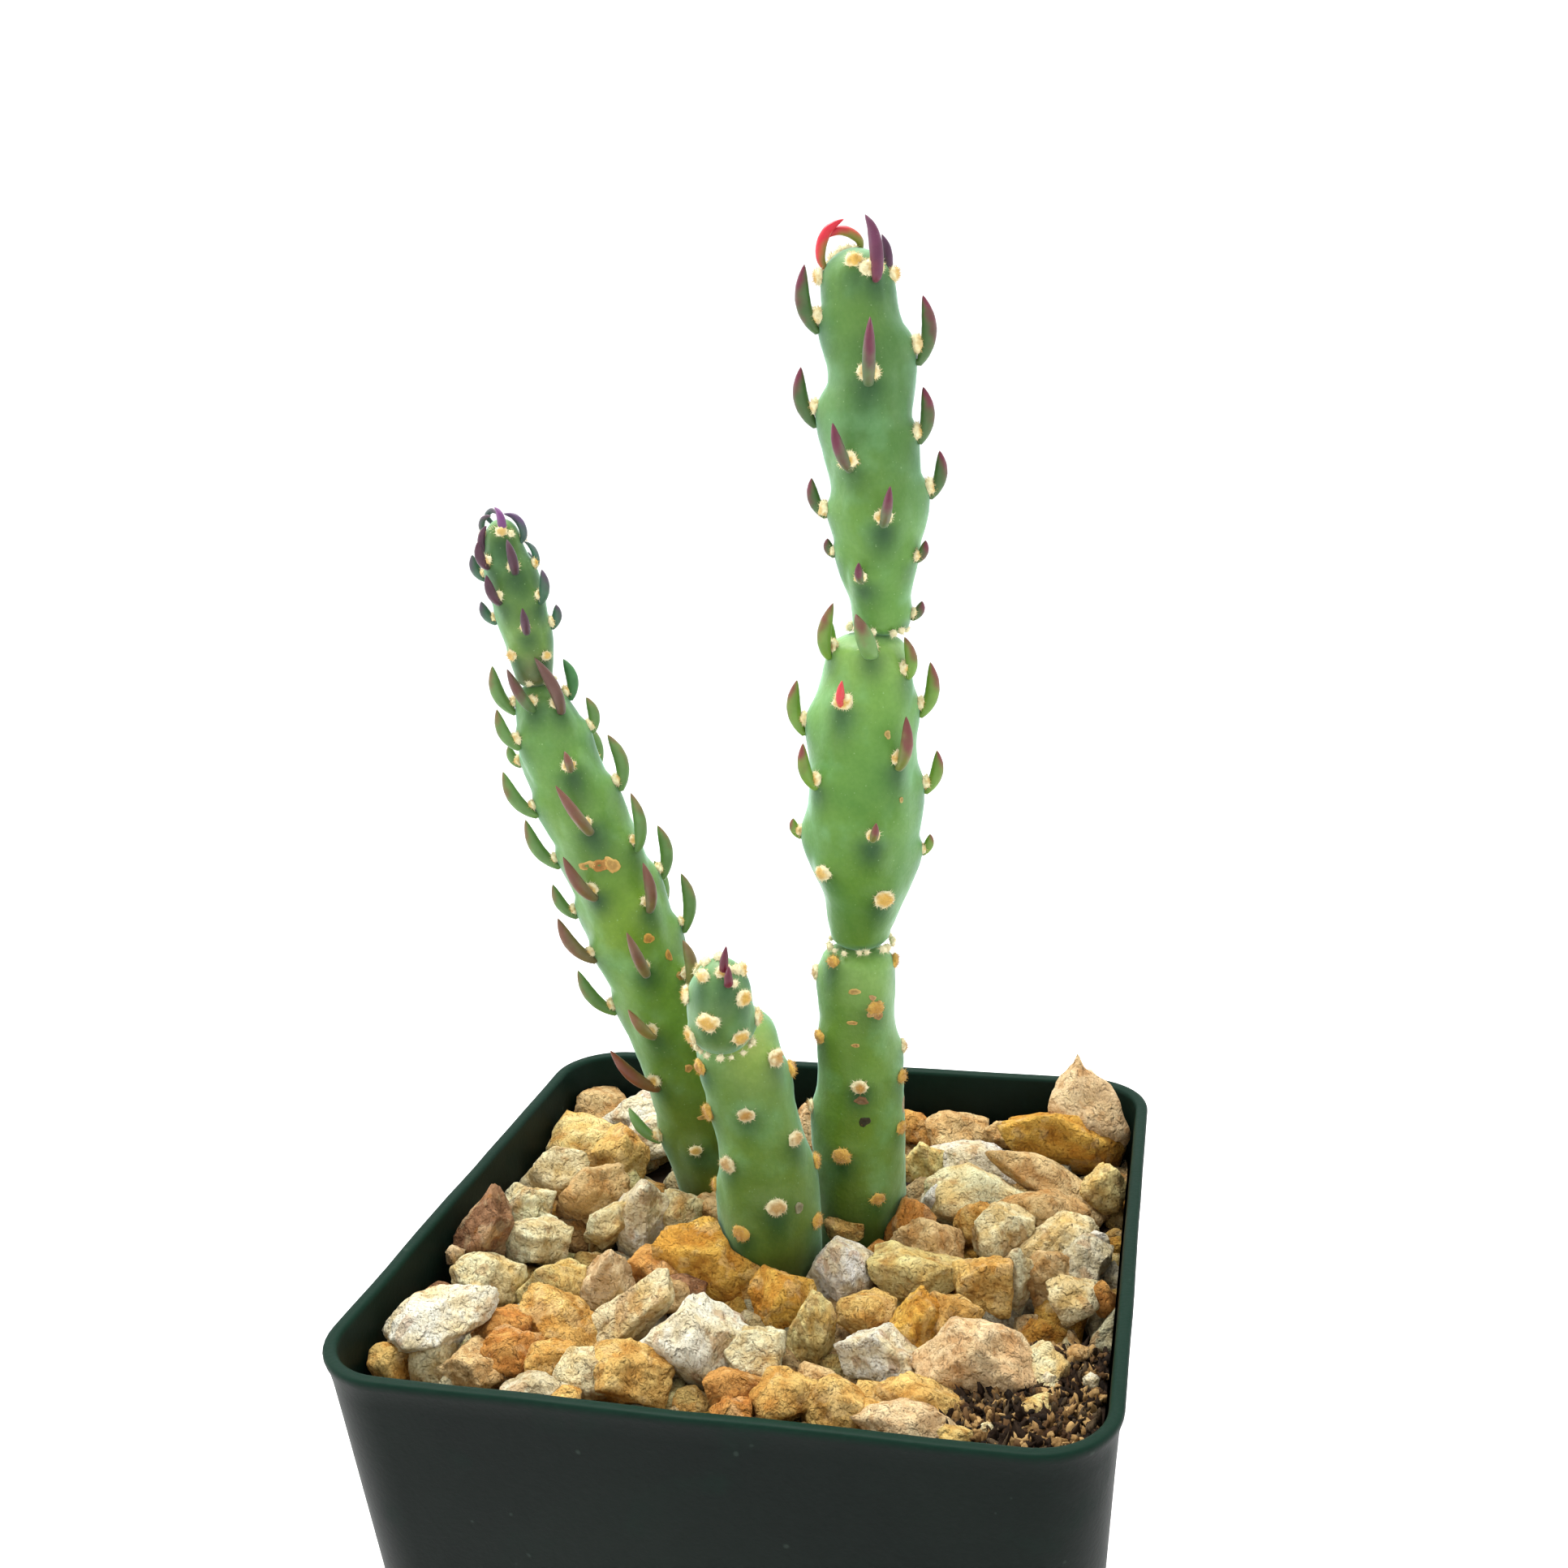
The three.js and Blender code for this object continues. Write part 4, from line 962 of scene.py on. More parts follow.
# leaves that arch over the growing tips, as points in the model's frame
archedLeaves = [
    ["tall_stem_upper", 0.46, (124, 112, 40), (196, 20, 44), 0.85, [
        [5.8, 9.2, 141.7], [5.24, 8.8, 142.8], [5.3, 8.92, 144.05], [5.8, 9.08, 145.1], [6.5, 9.24, 145.65],
        [7.18, 9.4, 145.98]]],
    ["tall_stem_upper", 0.42, (120, 124, 42), (190, 30, 46), 0.7, [
        [8.3, 10.4, 143.1], [8.3, 10.16, 144.2], [7.56, 9.92, 144.9], [6.67, 9.68, 145.12],
        [5.9, 9.44, 144.85], [5.45, 9.2, 144.36]]],
    ["tall_stem_upper", 0.62, (104, 34, 52), (92, 30, 66), 0.8, [
        [9.9, 8.0, 140.8], [10.2, 7.3, 141.2], [10.25, 7.3, 142.4], [10.15, 7.4, 143.8], [9.85, 7.5, 145.1],
        [9.32, 7.6, 146.1]]],
    ["tall_stem_upper", 0.44, (60, 66, 62), (76, 36, 66), 0.75, [
        [10.2, 9.9, 140.6], [10.65, 9.6, 141.4], [10.75, 9.6, 142.4], [10.66, 9.6, 143.6],
        [10.3, 9.6, 144.6]]],
    ["left_stem_upper", 0.36, (64, 44, 56), (80, 40, 62), 0.9, [
        [-26.5, 8.3, 118.7], [-27.05, 7.9, 119.4], [-27.21, 7.9, 120.2], [-27.0, 7.9, 121.0],
        [-26.57, 7.9, 121.6]]],
    ["left_stem_upper", 0.3, (62, 92, 78), (90, 66, 84), 0.5, [
        [-26.9, 9.6, 120.3], [-27.75, 9.55, 121.2], [-27.6, 9.5, 121.95], [-27.13, 9.45, 122.28],
        [-26.68, 9.4, 122.33]]],
    ["left_stem_upper", 0.26, (58, 94, 82), (84, 70, 84), 0.5, [
        [-26.6, 10.2, 121.2], [-27.45, 10.2, 122.2], [-26.87, 9.9, 122.75], [-26.3, 9.6, 122.65],
        [-25.87, 9.3, 122.2]]],
    ["left_stem_upper", 0.44, (74, 34, 66), (110, 56, 112), 0.9, [
        [-25.2, 8.4, 120.5], [-25.05, 7.95, 121.3], [-25.15, 8.0, 122.2], [-25.45, 8.12, 122.9],
        [-25.77, 8.2, 123.2]]],
    ["left_stem_upper", 0.38, (60, 92, 80), (82, 58, 94), 0.55, [
        [-24.2, 9.2, 119.6], [-23.6, 9.2, 120.4], [-23.75, 9.2, 121.5], [-24.4, 9.2, 122.25],
        [-25.36, 9.2, 122.52]]],
    ["left_stem_upper", 0.32, (58, 110, 84), (86, 96, 96), 0.4, [
        [-23.5, 9.6, 117.0], [-22.8, 9.75, 117.9], [-22.9, 9.7, 119.0], [-23.3, 9.65, 119.6],
        [-23.75, 9.6, 119.93]]],
]
archedLeaves += [
    ["small_stem_upper", 0.44, (112, 22, 44), (88, 12, 38), 0.6, budLeaf] for budLeaf in (
        [[-2.9, -4.9, 84.2], [-2.6, -5.4, 84.9], [-2.5, -5.5, 85.6], [-2.38, -5.45, 86.3],
         [-2.28, -5.3, 86.95]],
        [[-2.4, -5.5, 83.4], [-2.05, -6.05, 83.9], [-2.0, -6.15, 84.5], [-1.96, -6.1, 85.0],
         [-1.95, -6.0, 85.4]],
    )
]
archedPlaces = {
    "tall_stem_upper": (142.4, 141.7, 141.0, 141.5), "left_stem_upper": (120.9, 120.5, 120.1, 117.3),
    "small_stem_upper": (84.4, 84.0),
}


def leafRow(points, thickness, tone, side, outward, t):
    # everything that the sweep needs at each point of a leaf's line
    count = len(points)
    deep, wide = [size * np.interp(t, leafShape["along"], leafShape[label]) for size, label in
                  zip(thickness, ("depths", "widths"))]
    base, ripe, reach = tone
    return {
        "points": points, "girth": deep, "squash": wide / deep - 1, "base": tiled(base, count),
        "ripe": tiled(ripe, count), "reach": np.full(count, reach), "side": np.tile(side, (count, 1)),
        "outward": np.tile(outward, (count, 1)), "share": np.linspace(0, 1, count),
    }


def leafLine(name, joint, place):
    height, turn, length, tilt = place
    # the shortest leaves are drawn out a little, so that they show past the felt
    length += 0.5 * max(2 - length, 0)
    root = height - leafShape["drop"] * min(max(0.2 * length, 0.2), 1)
    centre, up, right, back = spineFrame(joint, root)
    outward = outwardAt(right, back, np.array(float(turn)))
    side = np.cross(up, outward)
    start = skinPoint(joint, root, float(turn), leafShape["lift"])
    heights = [areole[0] for areole in joint["areoles"] if len(areole) > 2]
    low, high = leafLeans[name]
    lean = low + (high - low) * (height - min(heights)) / (max(heights) - min(heights))
    facing = "front" if abs(turnBetween(turn, viewTurn)) < leafShape["front"] else "side"
    tone, stout = leafTones[name][facing], 1.0
    if (name, height, turn) in specialLeaves:
        lean, *tone, stout = specialLeaves[(name, height, turn)]
    t = np.linspace(-leafShape["start"], 1, leafShape["steps"])
    inside = np.clip(t, 0, 1)
    neck = np.clip(-t / leafShape["start"], 0, 1)
    out = leafShape["bow"] * length * np.sin(math.pi * inside ** leafShape["skew"]) + lean * length * inside
    points = start + np.outer(length * inside + leafShape["neckRise"] * neck, up)
    points += np.outer(out - leafShape["sink"] * neck, outward)
    points += np.outer(length * inside * math.tan(math.radians(tilt)), side)
    size = min(max(0.5 + 0.1 * length, 0.55), 1)
    thickness = (leafShape["deep"] * size, leafShape["wide"] * size * stout)
    return leafRow(points, thickness, tone, side, outward, t)


def archedLine(row):
    _, girth, *tone, marks = row
    marks = np.array(marks)
    steps = np.linspace(0, 1, leafShape["steps"])
    lengths = np.concatenate([[0], np.cumsum(np.linalg.norm(np.diff(marks, axis=0), axis=1))])
    rows = np.column_stack([lengths / lengths[-1], marks])
    points = np.stack([along(rows, steps, c) for c in (1, 2, 3)], axis=1)
    outward = marks[len(marks) // 2] - (marks[0] + marks[-1]) / 2
    chord = marks[-1] - marks[0]
    outward -= chord * (outward @ chord) / (chord @ chord)
    outward /= np.linalg.norm(outward)
    side = np.cross(chord / np.linalg.norm(chord), outward)
    t = steps * (1 + leafShape["start"]) - leafShape["start"]
    return leafRow(points, (girth, girth * leafShape["archedWide"]), tone, side, outward, t)


def makeLeafTree():
    # sweeps a round section along each line, as thick as its points say, and flattens it sideways
    tree, start = makeGeometryTree("leaf_sweep", [("Sides", "Int", 12)])

    def named(label, kind="FLOAT_VECTOR"):
        return outputOf(tree, "GeometryNodeInputNamedAttribute", {"data_type": kind}, name=label)

    lines = outputOf(tree, "GeometryNodeMeshToCurve", mesh=start["Geometry"])
    section = outputOf(tree, "GeometryNodeCurvePrimitiveCircle", resolution=start["Sides"], radius=1.0)
    sweep = outputOf(
        tree, "GeometryNodeCurveToMesh", curve=lines, profileCurve=section, scale=named("girth", "FLOAT"),
        fillCaps=True,
    )
    place = outputOf(tree, "GeometryNodeInputPosition")
    side = named("side")
    away = vectorOf(tree, "SUBTRACT", place, named("centre"))
    inward = vectorOf(tree, "SCALE", side, scale=vectorOf(tree, "DOT_PRODUCT", away, side))
    offset = vectorOf(tree, "SCALE", inward, scale=named("squash", "FLOAT"))
    moved = outputOf(tree, "GeometryNodeSetPosition", geometry=sweep, offset=offset)
    smooth = outputOf(tree, "GeometryNodeSetShadeSmooth", geometry=moved, shadeSmooth=True)
    return closeTree(tree, start, smooth)


def paintLeaves(mesh):
    # ripe colour on the tip and along the outer rim
    points = readPoints(mesh)
    away = points - readAttribute(mesh, "centre", 3) / mm
    away /= np.maximum(np.linalg.norm(away, axis=1, keepdims=True), 1e-6)
    rim = (away * readAttribute(mesh, "outward", 3)).sum(axis=1)
    share, reach = readAttribute(mesh, "share", 1)[:, 0], readAttribute(mesh, "reach", 1)[:, 0]
    cloud = bumps(points, 0.9, 2, 4.0)
    ripeness = smoothStep(0.05, 0.75, share + reach + 0.3 * rim + 0.25 * cloud - 0.75)[:, None]
    tone = readAttribute(mesh, "base", 4) * (1 - ripeness) + readAttribute(mesh, "ripe", 4) * ripeness
    for name in ("base", "ripe", "side", "outward", "centre", "girth", "squash", "share", "reach"):
        mesh.attributes.remove(mesh.attributes[name])
    addAttribute(mesh, "tone", tone)


def makeLeafPaint():
    paint = Paint(
        "cactus_leaf", subsurfaceWeight=0.12, subsurfaceRadius=(0.8, 0.8, 0.4), subsurfaceScale=0.6 * mm,
        sheenWeight=0.12, sheenRoughness=0.4, sheenTint=(0.65, 0.85, 1.0, 1),
    )
    streaks = paint.mottle(900.0, detail=4.0)
    pores = paint.flecks(3600.0, 0.08, 0.2)
    paint.color = paint.attribute("tone")
    paint.soak((0.6, 0.62, 0.6), streaks, 0.35)
    paint.cover((170, 175, 160), pores, 0.12)
    paint.bump(streaks, 0.15, 0.05)
    return paint.finish(roughness=paint.scaled(streaks, 0.15, 0.36))


leafTree = makeLeafTree()
leafPaint = makeLeafPaint()


def makeLeaves(name, joint):
    arched = archedPlaces.get(name, ())
    places = [place for place in joint["places"] if place[2] > 0 and place[0] not in arched]
    lines = [leafLine(name, joint, place) for place in places]
    lines += [archedLine(row) for row in archedLeaves if row[0] == name]
    if not lines:
        return
    steps = leafShape["steps"]
    edges = [(k * steps + i, k * steps + i + 1) for k in range(len(lines)) for i in range(steps - 1)]
    joined = {label: np.concatenate([line[label] for line in lines]) for label in lines[0]}
    points = joined.pop("points")
    joined["girth"] *= mm
    piece = makeObject(f"{name}_leaves", points, [], edges, centre=points * mm, **joined)
    growTree(piece, leafTree, sides=leafShape["sides"], material=leafPaint)
    paintLeaves(piece.data)
    finishPiece(piece, "cactus_skin", name)


for jointName, stemJoint in stemJoints.items():
    makeLeaves(jointName, stemJoint)
print("leaves done")

# The areoles: felt cushions with short pale hairs

felt = {"size": (0.9, 0.74, 0.56), "rise": 0.2, "lift": 0.1, "tuft": 0.9, "seed": 30, "detail": 3,
        "youngScale": 0.7, "youngLeaf": 1.9, "bareRise": 0.75,
        "lumps": (0.6, 0.3), "tuftLumps": (0.35, 0.2),
        "hairLength": 0.34, "hairRadius": 0.028, "hairs": 40.0,
        "pale": (240, 232, 192), "cream": (216, 176, 84), "tan": (192, 146, 70)}
feltScales = {
    "tall_stem_lower": 0.86, "tall_stem_middle": 0.95, "tall_stem_upper": 0.9, "left_stem_lower": 0.74,
    "left_stem_upper": 0.62, "small_stem_lower": 0.92, "small_stem_upper": 1.0,
}
# more felt at the growing tips: [x, y, z, size]
crownFelt = {
    "tall_stem_upper": [
        [5.6, 9.9, 142.3, 0.5], [6.05, 10.0, 142.9, 0.55], [6.66, 10.2, 143.35, 0.55],
        [7.3, 10.3, 143.55, 0.5], [8.0, 10.4, 143.5, 0.45], [9.2, 7.55, 141.9, 0.7],
    ],
    "left_stem_upper": [[-25.9, 8.3, 121.1, 0.5], [-24.6, 8.4, 120.7, 0.5], [-26.5, 8.3, 119.9, 0.45]],
    "small_stem_upper": [
        [-4.5, -4.2, 85.0, 0.5], [-3.4, -3.9, 85.4, 0.5], [-1.8, -4.4, 84.5, 0.5], [-2.4, -4.9, 84.7, 0.45],
        [-3.0, -5.4, 84.4, 0.42], [-1.7, -5.6, 83.7, 0.36],
    ],
}
# a fringe of felt where a joint sits on the one below: [height, distance from the middle, tufts]
seams = {
    "tall_stem_middle": [82.3, 3.0, 17], "tall_stem_upper": [111.6, 2.5, 13],
    "left_stem_upper": [107.0, 1.8, 7], "small_stem_upper": [77.0, 2.45, 15],
}


def makeFeltPaint():
    paint = Paint("areole_felt", roughness=0.9, sheenWeight=0.4, specularIorLevel=0.2)
    tufts = paint.mottle(2600.0, detail=4.0)
    paint.color = paint.attribute("tone")
    paint.soak((0.66, 0.58, 0.42), tufts, 0.45)
    paint.bump(tufts, 0.5, 0.06)
    return paint.finish()


def randomOf(tree, kind, low, high, seed):
    return outputOf(tree, "FunctionNodeRandomValue", {"data_type": kind}, min=low, max=high, seed=seed)


def makeFeltTree():
    # keeps the cushions and grows fine hairs all over them
    tree, start = makeGeometryTree("felt_hairs", [
        ("Hair Length", "Float", 0.0005), ("Hair Radius", "Float", 0.00003), ("Hairs", "Float", 20.0),
        ("Seed", "Int", 5),
    ])
    spread = addNode(
        tree, "GeometryNodeDistributePointsOnFaces", mesh=start["Geometry"], density=start["Hairs"],
        seed=start["Seed"],
    )
    hair = outputOf(
        tree, "GeometryNodeMeshCone", {"fill_type": "NGON"}, vertices=3, sideSegments=1,
        radiusBottom=start["Hair Radius"], depth=start["Hair Length"],
    )
    tilt = randomOf(tree, "FLOAT_VECTOR", (-0.6, -0.6, 0), (0.6, 0.6, 6.28), 11)
    turned = outputOf(
        tree, "FunctionNodeRotateRotation", {"rotation_space": "LOCAL"}, rotation=spread.outputs["Rotation"],
        rotateBy=outputOf(tree, "FunctionNodeEulerToRotation", euler=tilt),
    )
    placed = outputOf(
        tree, "GeometryNodeInstanceOnPoints", points=spread.outputs["Points"], instance=hair,
        rotation=turned, scale=randomOf(tree, "FLOAT", 0.5, 1.1, 12),
    )
    joined = addNode(tree, "GeometryNodeJoinGeometry", None, start["Geometry"])
    tree.links.new(placed, joined.inputs[0])
    return closeTree(tree, start, joined.outputs[0])


feltPaint = makeFeltPaint()
feltTree = makeFeltTree()
ballPoints, ballFaces = unitBalls[felt["detail"]]


def feltCushion(name, joint, place, draw):
    height, turn, leaf, _ = place
    isOld = name in ("tall_stem_lower", "small_stem_lower")
    height += felt["rise"] if leaf > 0 else 0
    _, up, right, back = spineFrame(joint, height)
    outward = outwardAt(right, back, np.array(float(turn)))
    spot = skinPoint(joint, height, float(turn), felt["lift"] if leaf > 0 else 0.0)
    grow = (0.85 + 0.3 * draw()) * feltScales[name]
    if 0 < leaf < felt["youngLeaf"]:
        grow *= felt["youngScale"]
    local = lumpy(ballPoints, *felt["lumps"], draw() * 9) * np.array(felt["size"]) * grow
    if leaf == 0:
        local[:, 2] *= felt["bareRise"]
    points = spot + local @ np.array([np.cross(up, outward), up, outward])
    # a darker middle, darkest on the old joints, and a paler rim
    reach = np.hypot(local[:, 0] / felt["size"][0], local[:, 1] / felt["size"][1]) / grow
    blotch = bumps(local, 0.5, 3, draw() * 9)
    middle = (smoothStep(1.1, 0.5, reach + 0.4 * blotch) * (0.75 + 0.25 * draw()))[:, None]
    core = felt["tan"] if isOld else felt["cream"]
    rim = felt["cream"] if isOld and draw() < 0.7 else felt["pale"]
    tone = np.array(linear(rim)) * (1 - middle) + np.array(linear(core)) * middle
    return points, ballFaces, {"tone": tone}


def seamTufts(name, joint, draw):
    height, reach, count = seams[name]
    centre, up, right, back = spineFrame(joint, height)
    tufts = []
    for i in range(count):
        outward = outwardAt(right, back, np.array(360 * (i + 0.6 * draw()) / count))
        tufts.append([*(centre + outward * reach + up * 0.25 * (draw() - 0.5)), 0.2 + 0.2 * draw()])
    return tufts


def makeFelt(name, joint, seed):
    draw = makeRandom(seed)
    parts = [feltCushion(name, joint, place, draw) for place in joint["places"]]
    tufts = list(crownFelt.get(name, ()))
    if name in seams:
        tufts += seamTufts(name, joint, draw)
    for *place, size in tufts:
        points = lumpy(ballPoints, *felt["tuftLumps"], draw() * 9) * size * felt["tuft"] + np.array(place)
        parts.append((points, ballFaces, {"tone": tiled(felt["pale"], len(points))}))
    piece = joinParts(f"{name}_felt", parts)
    growTree(
        piece, feltTree, hairLength=felt["hairLength"] * mm, hairRadius=felt["hairRadius"] * mm,
        hairs=felt["hairs"] / mm ** 2, seed=seed, material=feltPaint,
    )
    finishPiece(piece, "cactus_skin", name)


for index, (jointName, stemJoint) in enumerate(stemJoints.items()):
    makeFelt(jointName, stemJoint, felt["seed"] + index)
print("areoles done")

# Corky scars: [joint, height, turn, width, tall, colour]

scars = [
    ["left_stem_lower", 90.1, -1, 0.85, 0.5, (214, 174, 100)],
    ["left_stem_lower", 89.8, 16, 0.9, 0.62, (194, 142, 74)],
    ["left_stem_lower", 89.4, 32, 0.62, 0.8, (222, 182, 106)],
    ["left_stem_lower", 81.8, 41, 0.5, 0.45, (214, 164, 72)],
    ["left_stem_lower", 79.4, 60, 0.36, 0.5, (206, 160, 72)],
    ["left_stem_lower", 77.2, 63, 0.36, 0.36, (160, 130, 62)],
    ["left_stem_lower", 74.9, 62, 0.5, 0.42, (206, 156, 66)],
    ["left_stem_lower", 68.7, 30, 0.4, 0.35, (212, 164, 88)],
    ["left_stem_lower", 65.4, 46, 0.35, 0.8, (196, 160, 84)],
    ["left_stem_lower", 63.6, 34, 0.9, 0.3, (186, 150, 80)],
    ["tall_stem_lower", 66.6, 88, 0.55, 0.75, (176, 160, 132)],
    ["tall_stem_lower", 66.3, 18, 0.5, 0.45, (52, 48, 22)],
    ["tall_stem_lower", 78.8, 8, 0.5, 0.3, (200, 166, 96)],
    ["tall_stem_lower", 75.8, 4, 0.42, 0.22, (196, 158, 88)],
    ["tall_stem_lower", 73.6, 8, 0.35, 0.2, (190, 152, 86)],
    ["tall_stem_lower", 76.3, 42, 0.42, 0.34, (176, 136, 86)],
    ["tall_stem_lower", 78.2, 34, 0.3, 0.26, (196, 160, 108)],
    ["tall_stem_lower", 76.6, 30, 0.34, 0.24, (200, 164, 112)],
    ["tall_stem_lower", 68.3, 14, 0.6, 0.35, (136, 104, 70)],
    ["tall_stem_middle", 103.0, 38, 0.3, 0.4, (206, 182, 112)],
    ["tall_stem_middle", 97.0, 50, 0.22, 0.22, (196, 176, 110)],
    ["small_stem_lower", 60.6, 52, 0.5, 0.4, (150, 150, 120)],
]
# rings of each scar from its middle out: how far they reach, and how far they stand off the skin
scarShape = {"spokes": 40, "reach": [0.15, 0.3425, 0.535, 0.7275, 0.92, 1.0, 1.04],
             "lift": [0.045, 0.09, 0.09, 0.09, 0.09, 0.054, -0.08], "middle": 0.03, "base": -0.3,
             "waves": (2, 3, 5, 8, 13), "waviness": 0.26, "darkRings": 3, "dark": 0.72, "seed": 700}


def makeScarPaint():
    paint = Paint("corky_scar", roughness=0.8)
    cloud = paint.mottle(1500.0, detail=5.0)
    cracks = paint.flecks(2200.0, 0.2, 0.15)
    paint.color = paint.attribute("tone")
    paint.soak((0.55, 0.42, 0.28), cloud, 0.6)
    paint.cover((120, 84, 44), cracks, 0.5)
    paint.bump(cloud, 0.5, 0.06)
    return paint.finish()


def scarBody(seed, name, height, turn, wide, tall, color):
    joint, spokes, rings = stemJoints[name], scarShape["spokes"], len(scarShape["reach"])
    draw = makeRandom(seed)
    angles = np.arange(spokes) * 2 * math.pi / spokes
    waves = sum(
        (scarShape["waviness"] / k) * np.sin(k * angles + 6.28 * draw()) * (0.5 + draw())
        for k in scarShape["waves"]
    )
    u = np.outer(scarShape["reach"], (1 + waves) * np.cos(angles)) * wide
    v = np.outer(scarShape["reach"], (1 + waves) * np.sin(angles)) * tall
    lift = np.repeat(np.array(scarShape["lift"])[:, None], spokes, 1)
    around = turn + np.degrees(u / girthAt(joint, height))
    points = skinPoint(joint, height + v, around, lift).reshape(-1, 3)
    ends = [skinPoint(joint, float(height), float(turn), scarShape[end]) for end in ("middle", "base")]
    points = np.concatenate([points, ends])
    tone = tiled(color, len(points))
    tone[:spokes * scarShape["darkRings"], :3] *= scarShape["dark"]
    return points, turnedOver(loftFaces(rings, spokes)), {"tone": tone}


def makeScars():
    parts = [scarBody(scarShape["seed"] + index, *row) for index, row in enumerate(scars)]
    finishPiece(joinParts("skin_scars", parts), "cactus_skin", material=makeScarPaint())


makeScars()
print("scars done")

# The gravel. Each stone is [x, y, width, height, finish, roll, lift]; the last two may be left out.

stoneFinishes = {
    "white": ((248, 246, 230), (226, 208, 158)),
    "cream": ((246, 236, 196), (214, 178, 104)),
    "yellow": ((240, 222, 158), (206, 160, 74)),
    "tan": ((226, 198, 146), (184, 136, 74)),
    "ochre": ((232, 198, 122), (188, 130, 50)),
    "gold": ((230, 186, 88), (190, 122, 34)),
    "rust": ((216, 164, 92), (172, 104, 38)),
    "brown": ((168, 128, 94), (112, 74, 46)),
    "pink": ((234, 210, 168), (202, 160, 110)),
    "grey": ((228, 222, 196), (188, 172, 130)),
}
shownStones = [
    [-24.9, -19.9, 9.2, 5, "white", -18, 2.6], [-28.2, -22.5, 4.4, 4, "ochre", 10],
    [-24.8, -21.8, 4.2, 5, "cream"], [-21.8, -22, 7, 4.4, "tan"], [-18.6, -20.3, 5, 6, "rust", -20],
    [-21, -16.3, 5.4, 4.4, "rust", -10], [-16.2, -15, 6.8, 5.2, "ochre", 10], [-19, -9, 7.2, 6.6, "yellow"],
    [-25.8, -9, 6.4, 5.2, "cream", 10], [-28.8, -4, 11, 4.6, "brown", -62, 0.6],
    [-27.5, 4.5, 5.4, 4.6, "cream"], [-25.2, -1, 8.2, 5, "cream"], [-21.6, 7.5, 7.2, 7, "tan", -15],
    [-27, 11.5, 6.8, 6, "cream"], [-26.3, 18.2, 8, 6, "yellow", -8], [-22, 16.2, 6, 6, "ochre", 20],
    [-27.6, 26.8, 7, 4.6, "tan"], [-21, 26.4, 13, 5.2, "white", -14, 0.2],
    [-19.8, 21.6, 6.4, 4.4, "white", 12], [-15.5, 3.8, 5.6, 8.6, "white", 10], [-11.2, 4.8, 5, 5, "cream"],
    [-9, 7, 4, 3.4, "tan"], [-18.2, 2.6, 5.4, 3.2, "cream", -40], [-14.4, -8.5, 5, 8.6, "pink", 8],
    [-10.6, -4.2, 7, 4.4, "rust", 0, -0.6], [-6.2, -2.4, 10, 6.4, "gold", 32],
    [-8.2, -6.4, 4.4, 3, "brown", 10, -0.6], [-11.4, -13, 12, 4, "cream", -42],
    [-4, -16.5, 8.2, 8.6, "white", 8], [-15.3, -20, 4.4, 3, "ochre"], [-11.8, -21.6, 4.2, 4.6, "cream"],
    [-8, -21.2, 6.4, 5, "ochre", 10], [-15, -24.2, 6, 3, "grey", 5], [-8.4, -8.6, 3.4, 3.2, "tan"],
    [-13, 19.5, 5, 5, "pink", 20], [2, -8, 5.6, 6.4, "gold"], [6, -2.2, 6.8, 8, "white"],
    [5.4, -12, 3.6, 7.4, "yellow", 8], [12.8, -2, 9, 4.2, "yellow", 6, 0.4], [13.6, 3, 6.6, 5.6, "tan", 10],
    [10.4, 6.4, 5, 4.6, "rust"], [1.2, -16.4, 5.4, 4.8, "cream", -20, 0.2], [1, -20.6, 5.6, 3, "rust", 20],
    [5.4, -22, 5.6, 4.2, "ochre"], [1.4, -24.4, 3.4, 2.6, "rust"], [9.2, -22, 5, 4.6, "ochre"],
    [11.3, -14.6, 6.4, 4.8, "white", 15, 0.2], [9.6, -9, 4.8, 4.2, "ochre"],
    [13.4, -11, 5, 7.4, "gold", 10], [16.6, -10, 5.4, 6.4, "ochre"],
    [19.6, -15, 9.6, 7.4, "pink", -10, 0.4], [24.6, -15.4, 5.2, 4, "cream", -48],
    [15.6, -19.4, 6.8, 3, "ochre", 15], [15.4, -23.2, 7.8, 3, "pink", 5],
    [18.6, -2.6, 5.2, 6.4, "ochre", 25], [21, -1.6, 3.6, 7, "cream", 8], [24.2, 0.4, 5, 5.2, "tan"],
    [26.8, 1.8, 5.6, 4.8, "grey"], [24.6, 6.4, 7.2, 4, "cream"], [27, -4, 4.6, 3.4, "cream", 0, 0.3],
    [19.6, 6.8, 5.6, 5, "cream"], [22.6, 11.6, 8.2, 4.8, "tan", 14], [23.4, 16, 13.5, 3.2, "tan", 31, 0.3],
    [27.8, 17, 4, 5.2, "yellow", 20], [16, 12.6, 9, 5.6, "cream", 14], [12.6, 12.2, 4, 3.4, "white"],
    [15, 20.4, 8.6, 4.4, "white", 14], [10.4, 19.4, 4, 5, "yellow"], [12, 26.8, 7.2, 4.8, "tan"],
    [7.6, 27, 4, 4.4, "rust"], [17, 26.6, 4, 3.6, "tan"], [23.2, 24.6, 12.6, 6.6, "gold", 14, 1.2],
    [16.6, 8.2, 4, 4.4, "ochre"], [-3.4, 24, 5, 6, "pink"], [-9, 26, 6, 5, "tan"], [2, 21, 6, 4.6, "cream"],
]
spireStone = [25.8, 27, 7.4, 9.6, "pink", 0, 4.4]
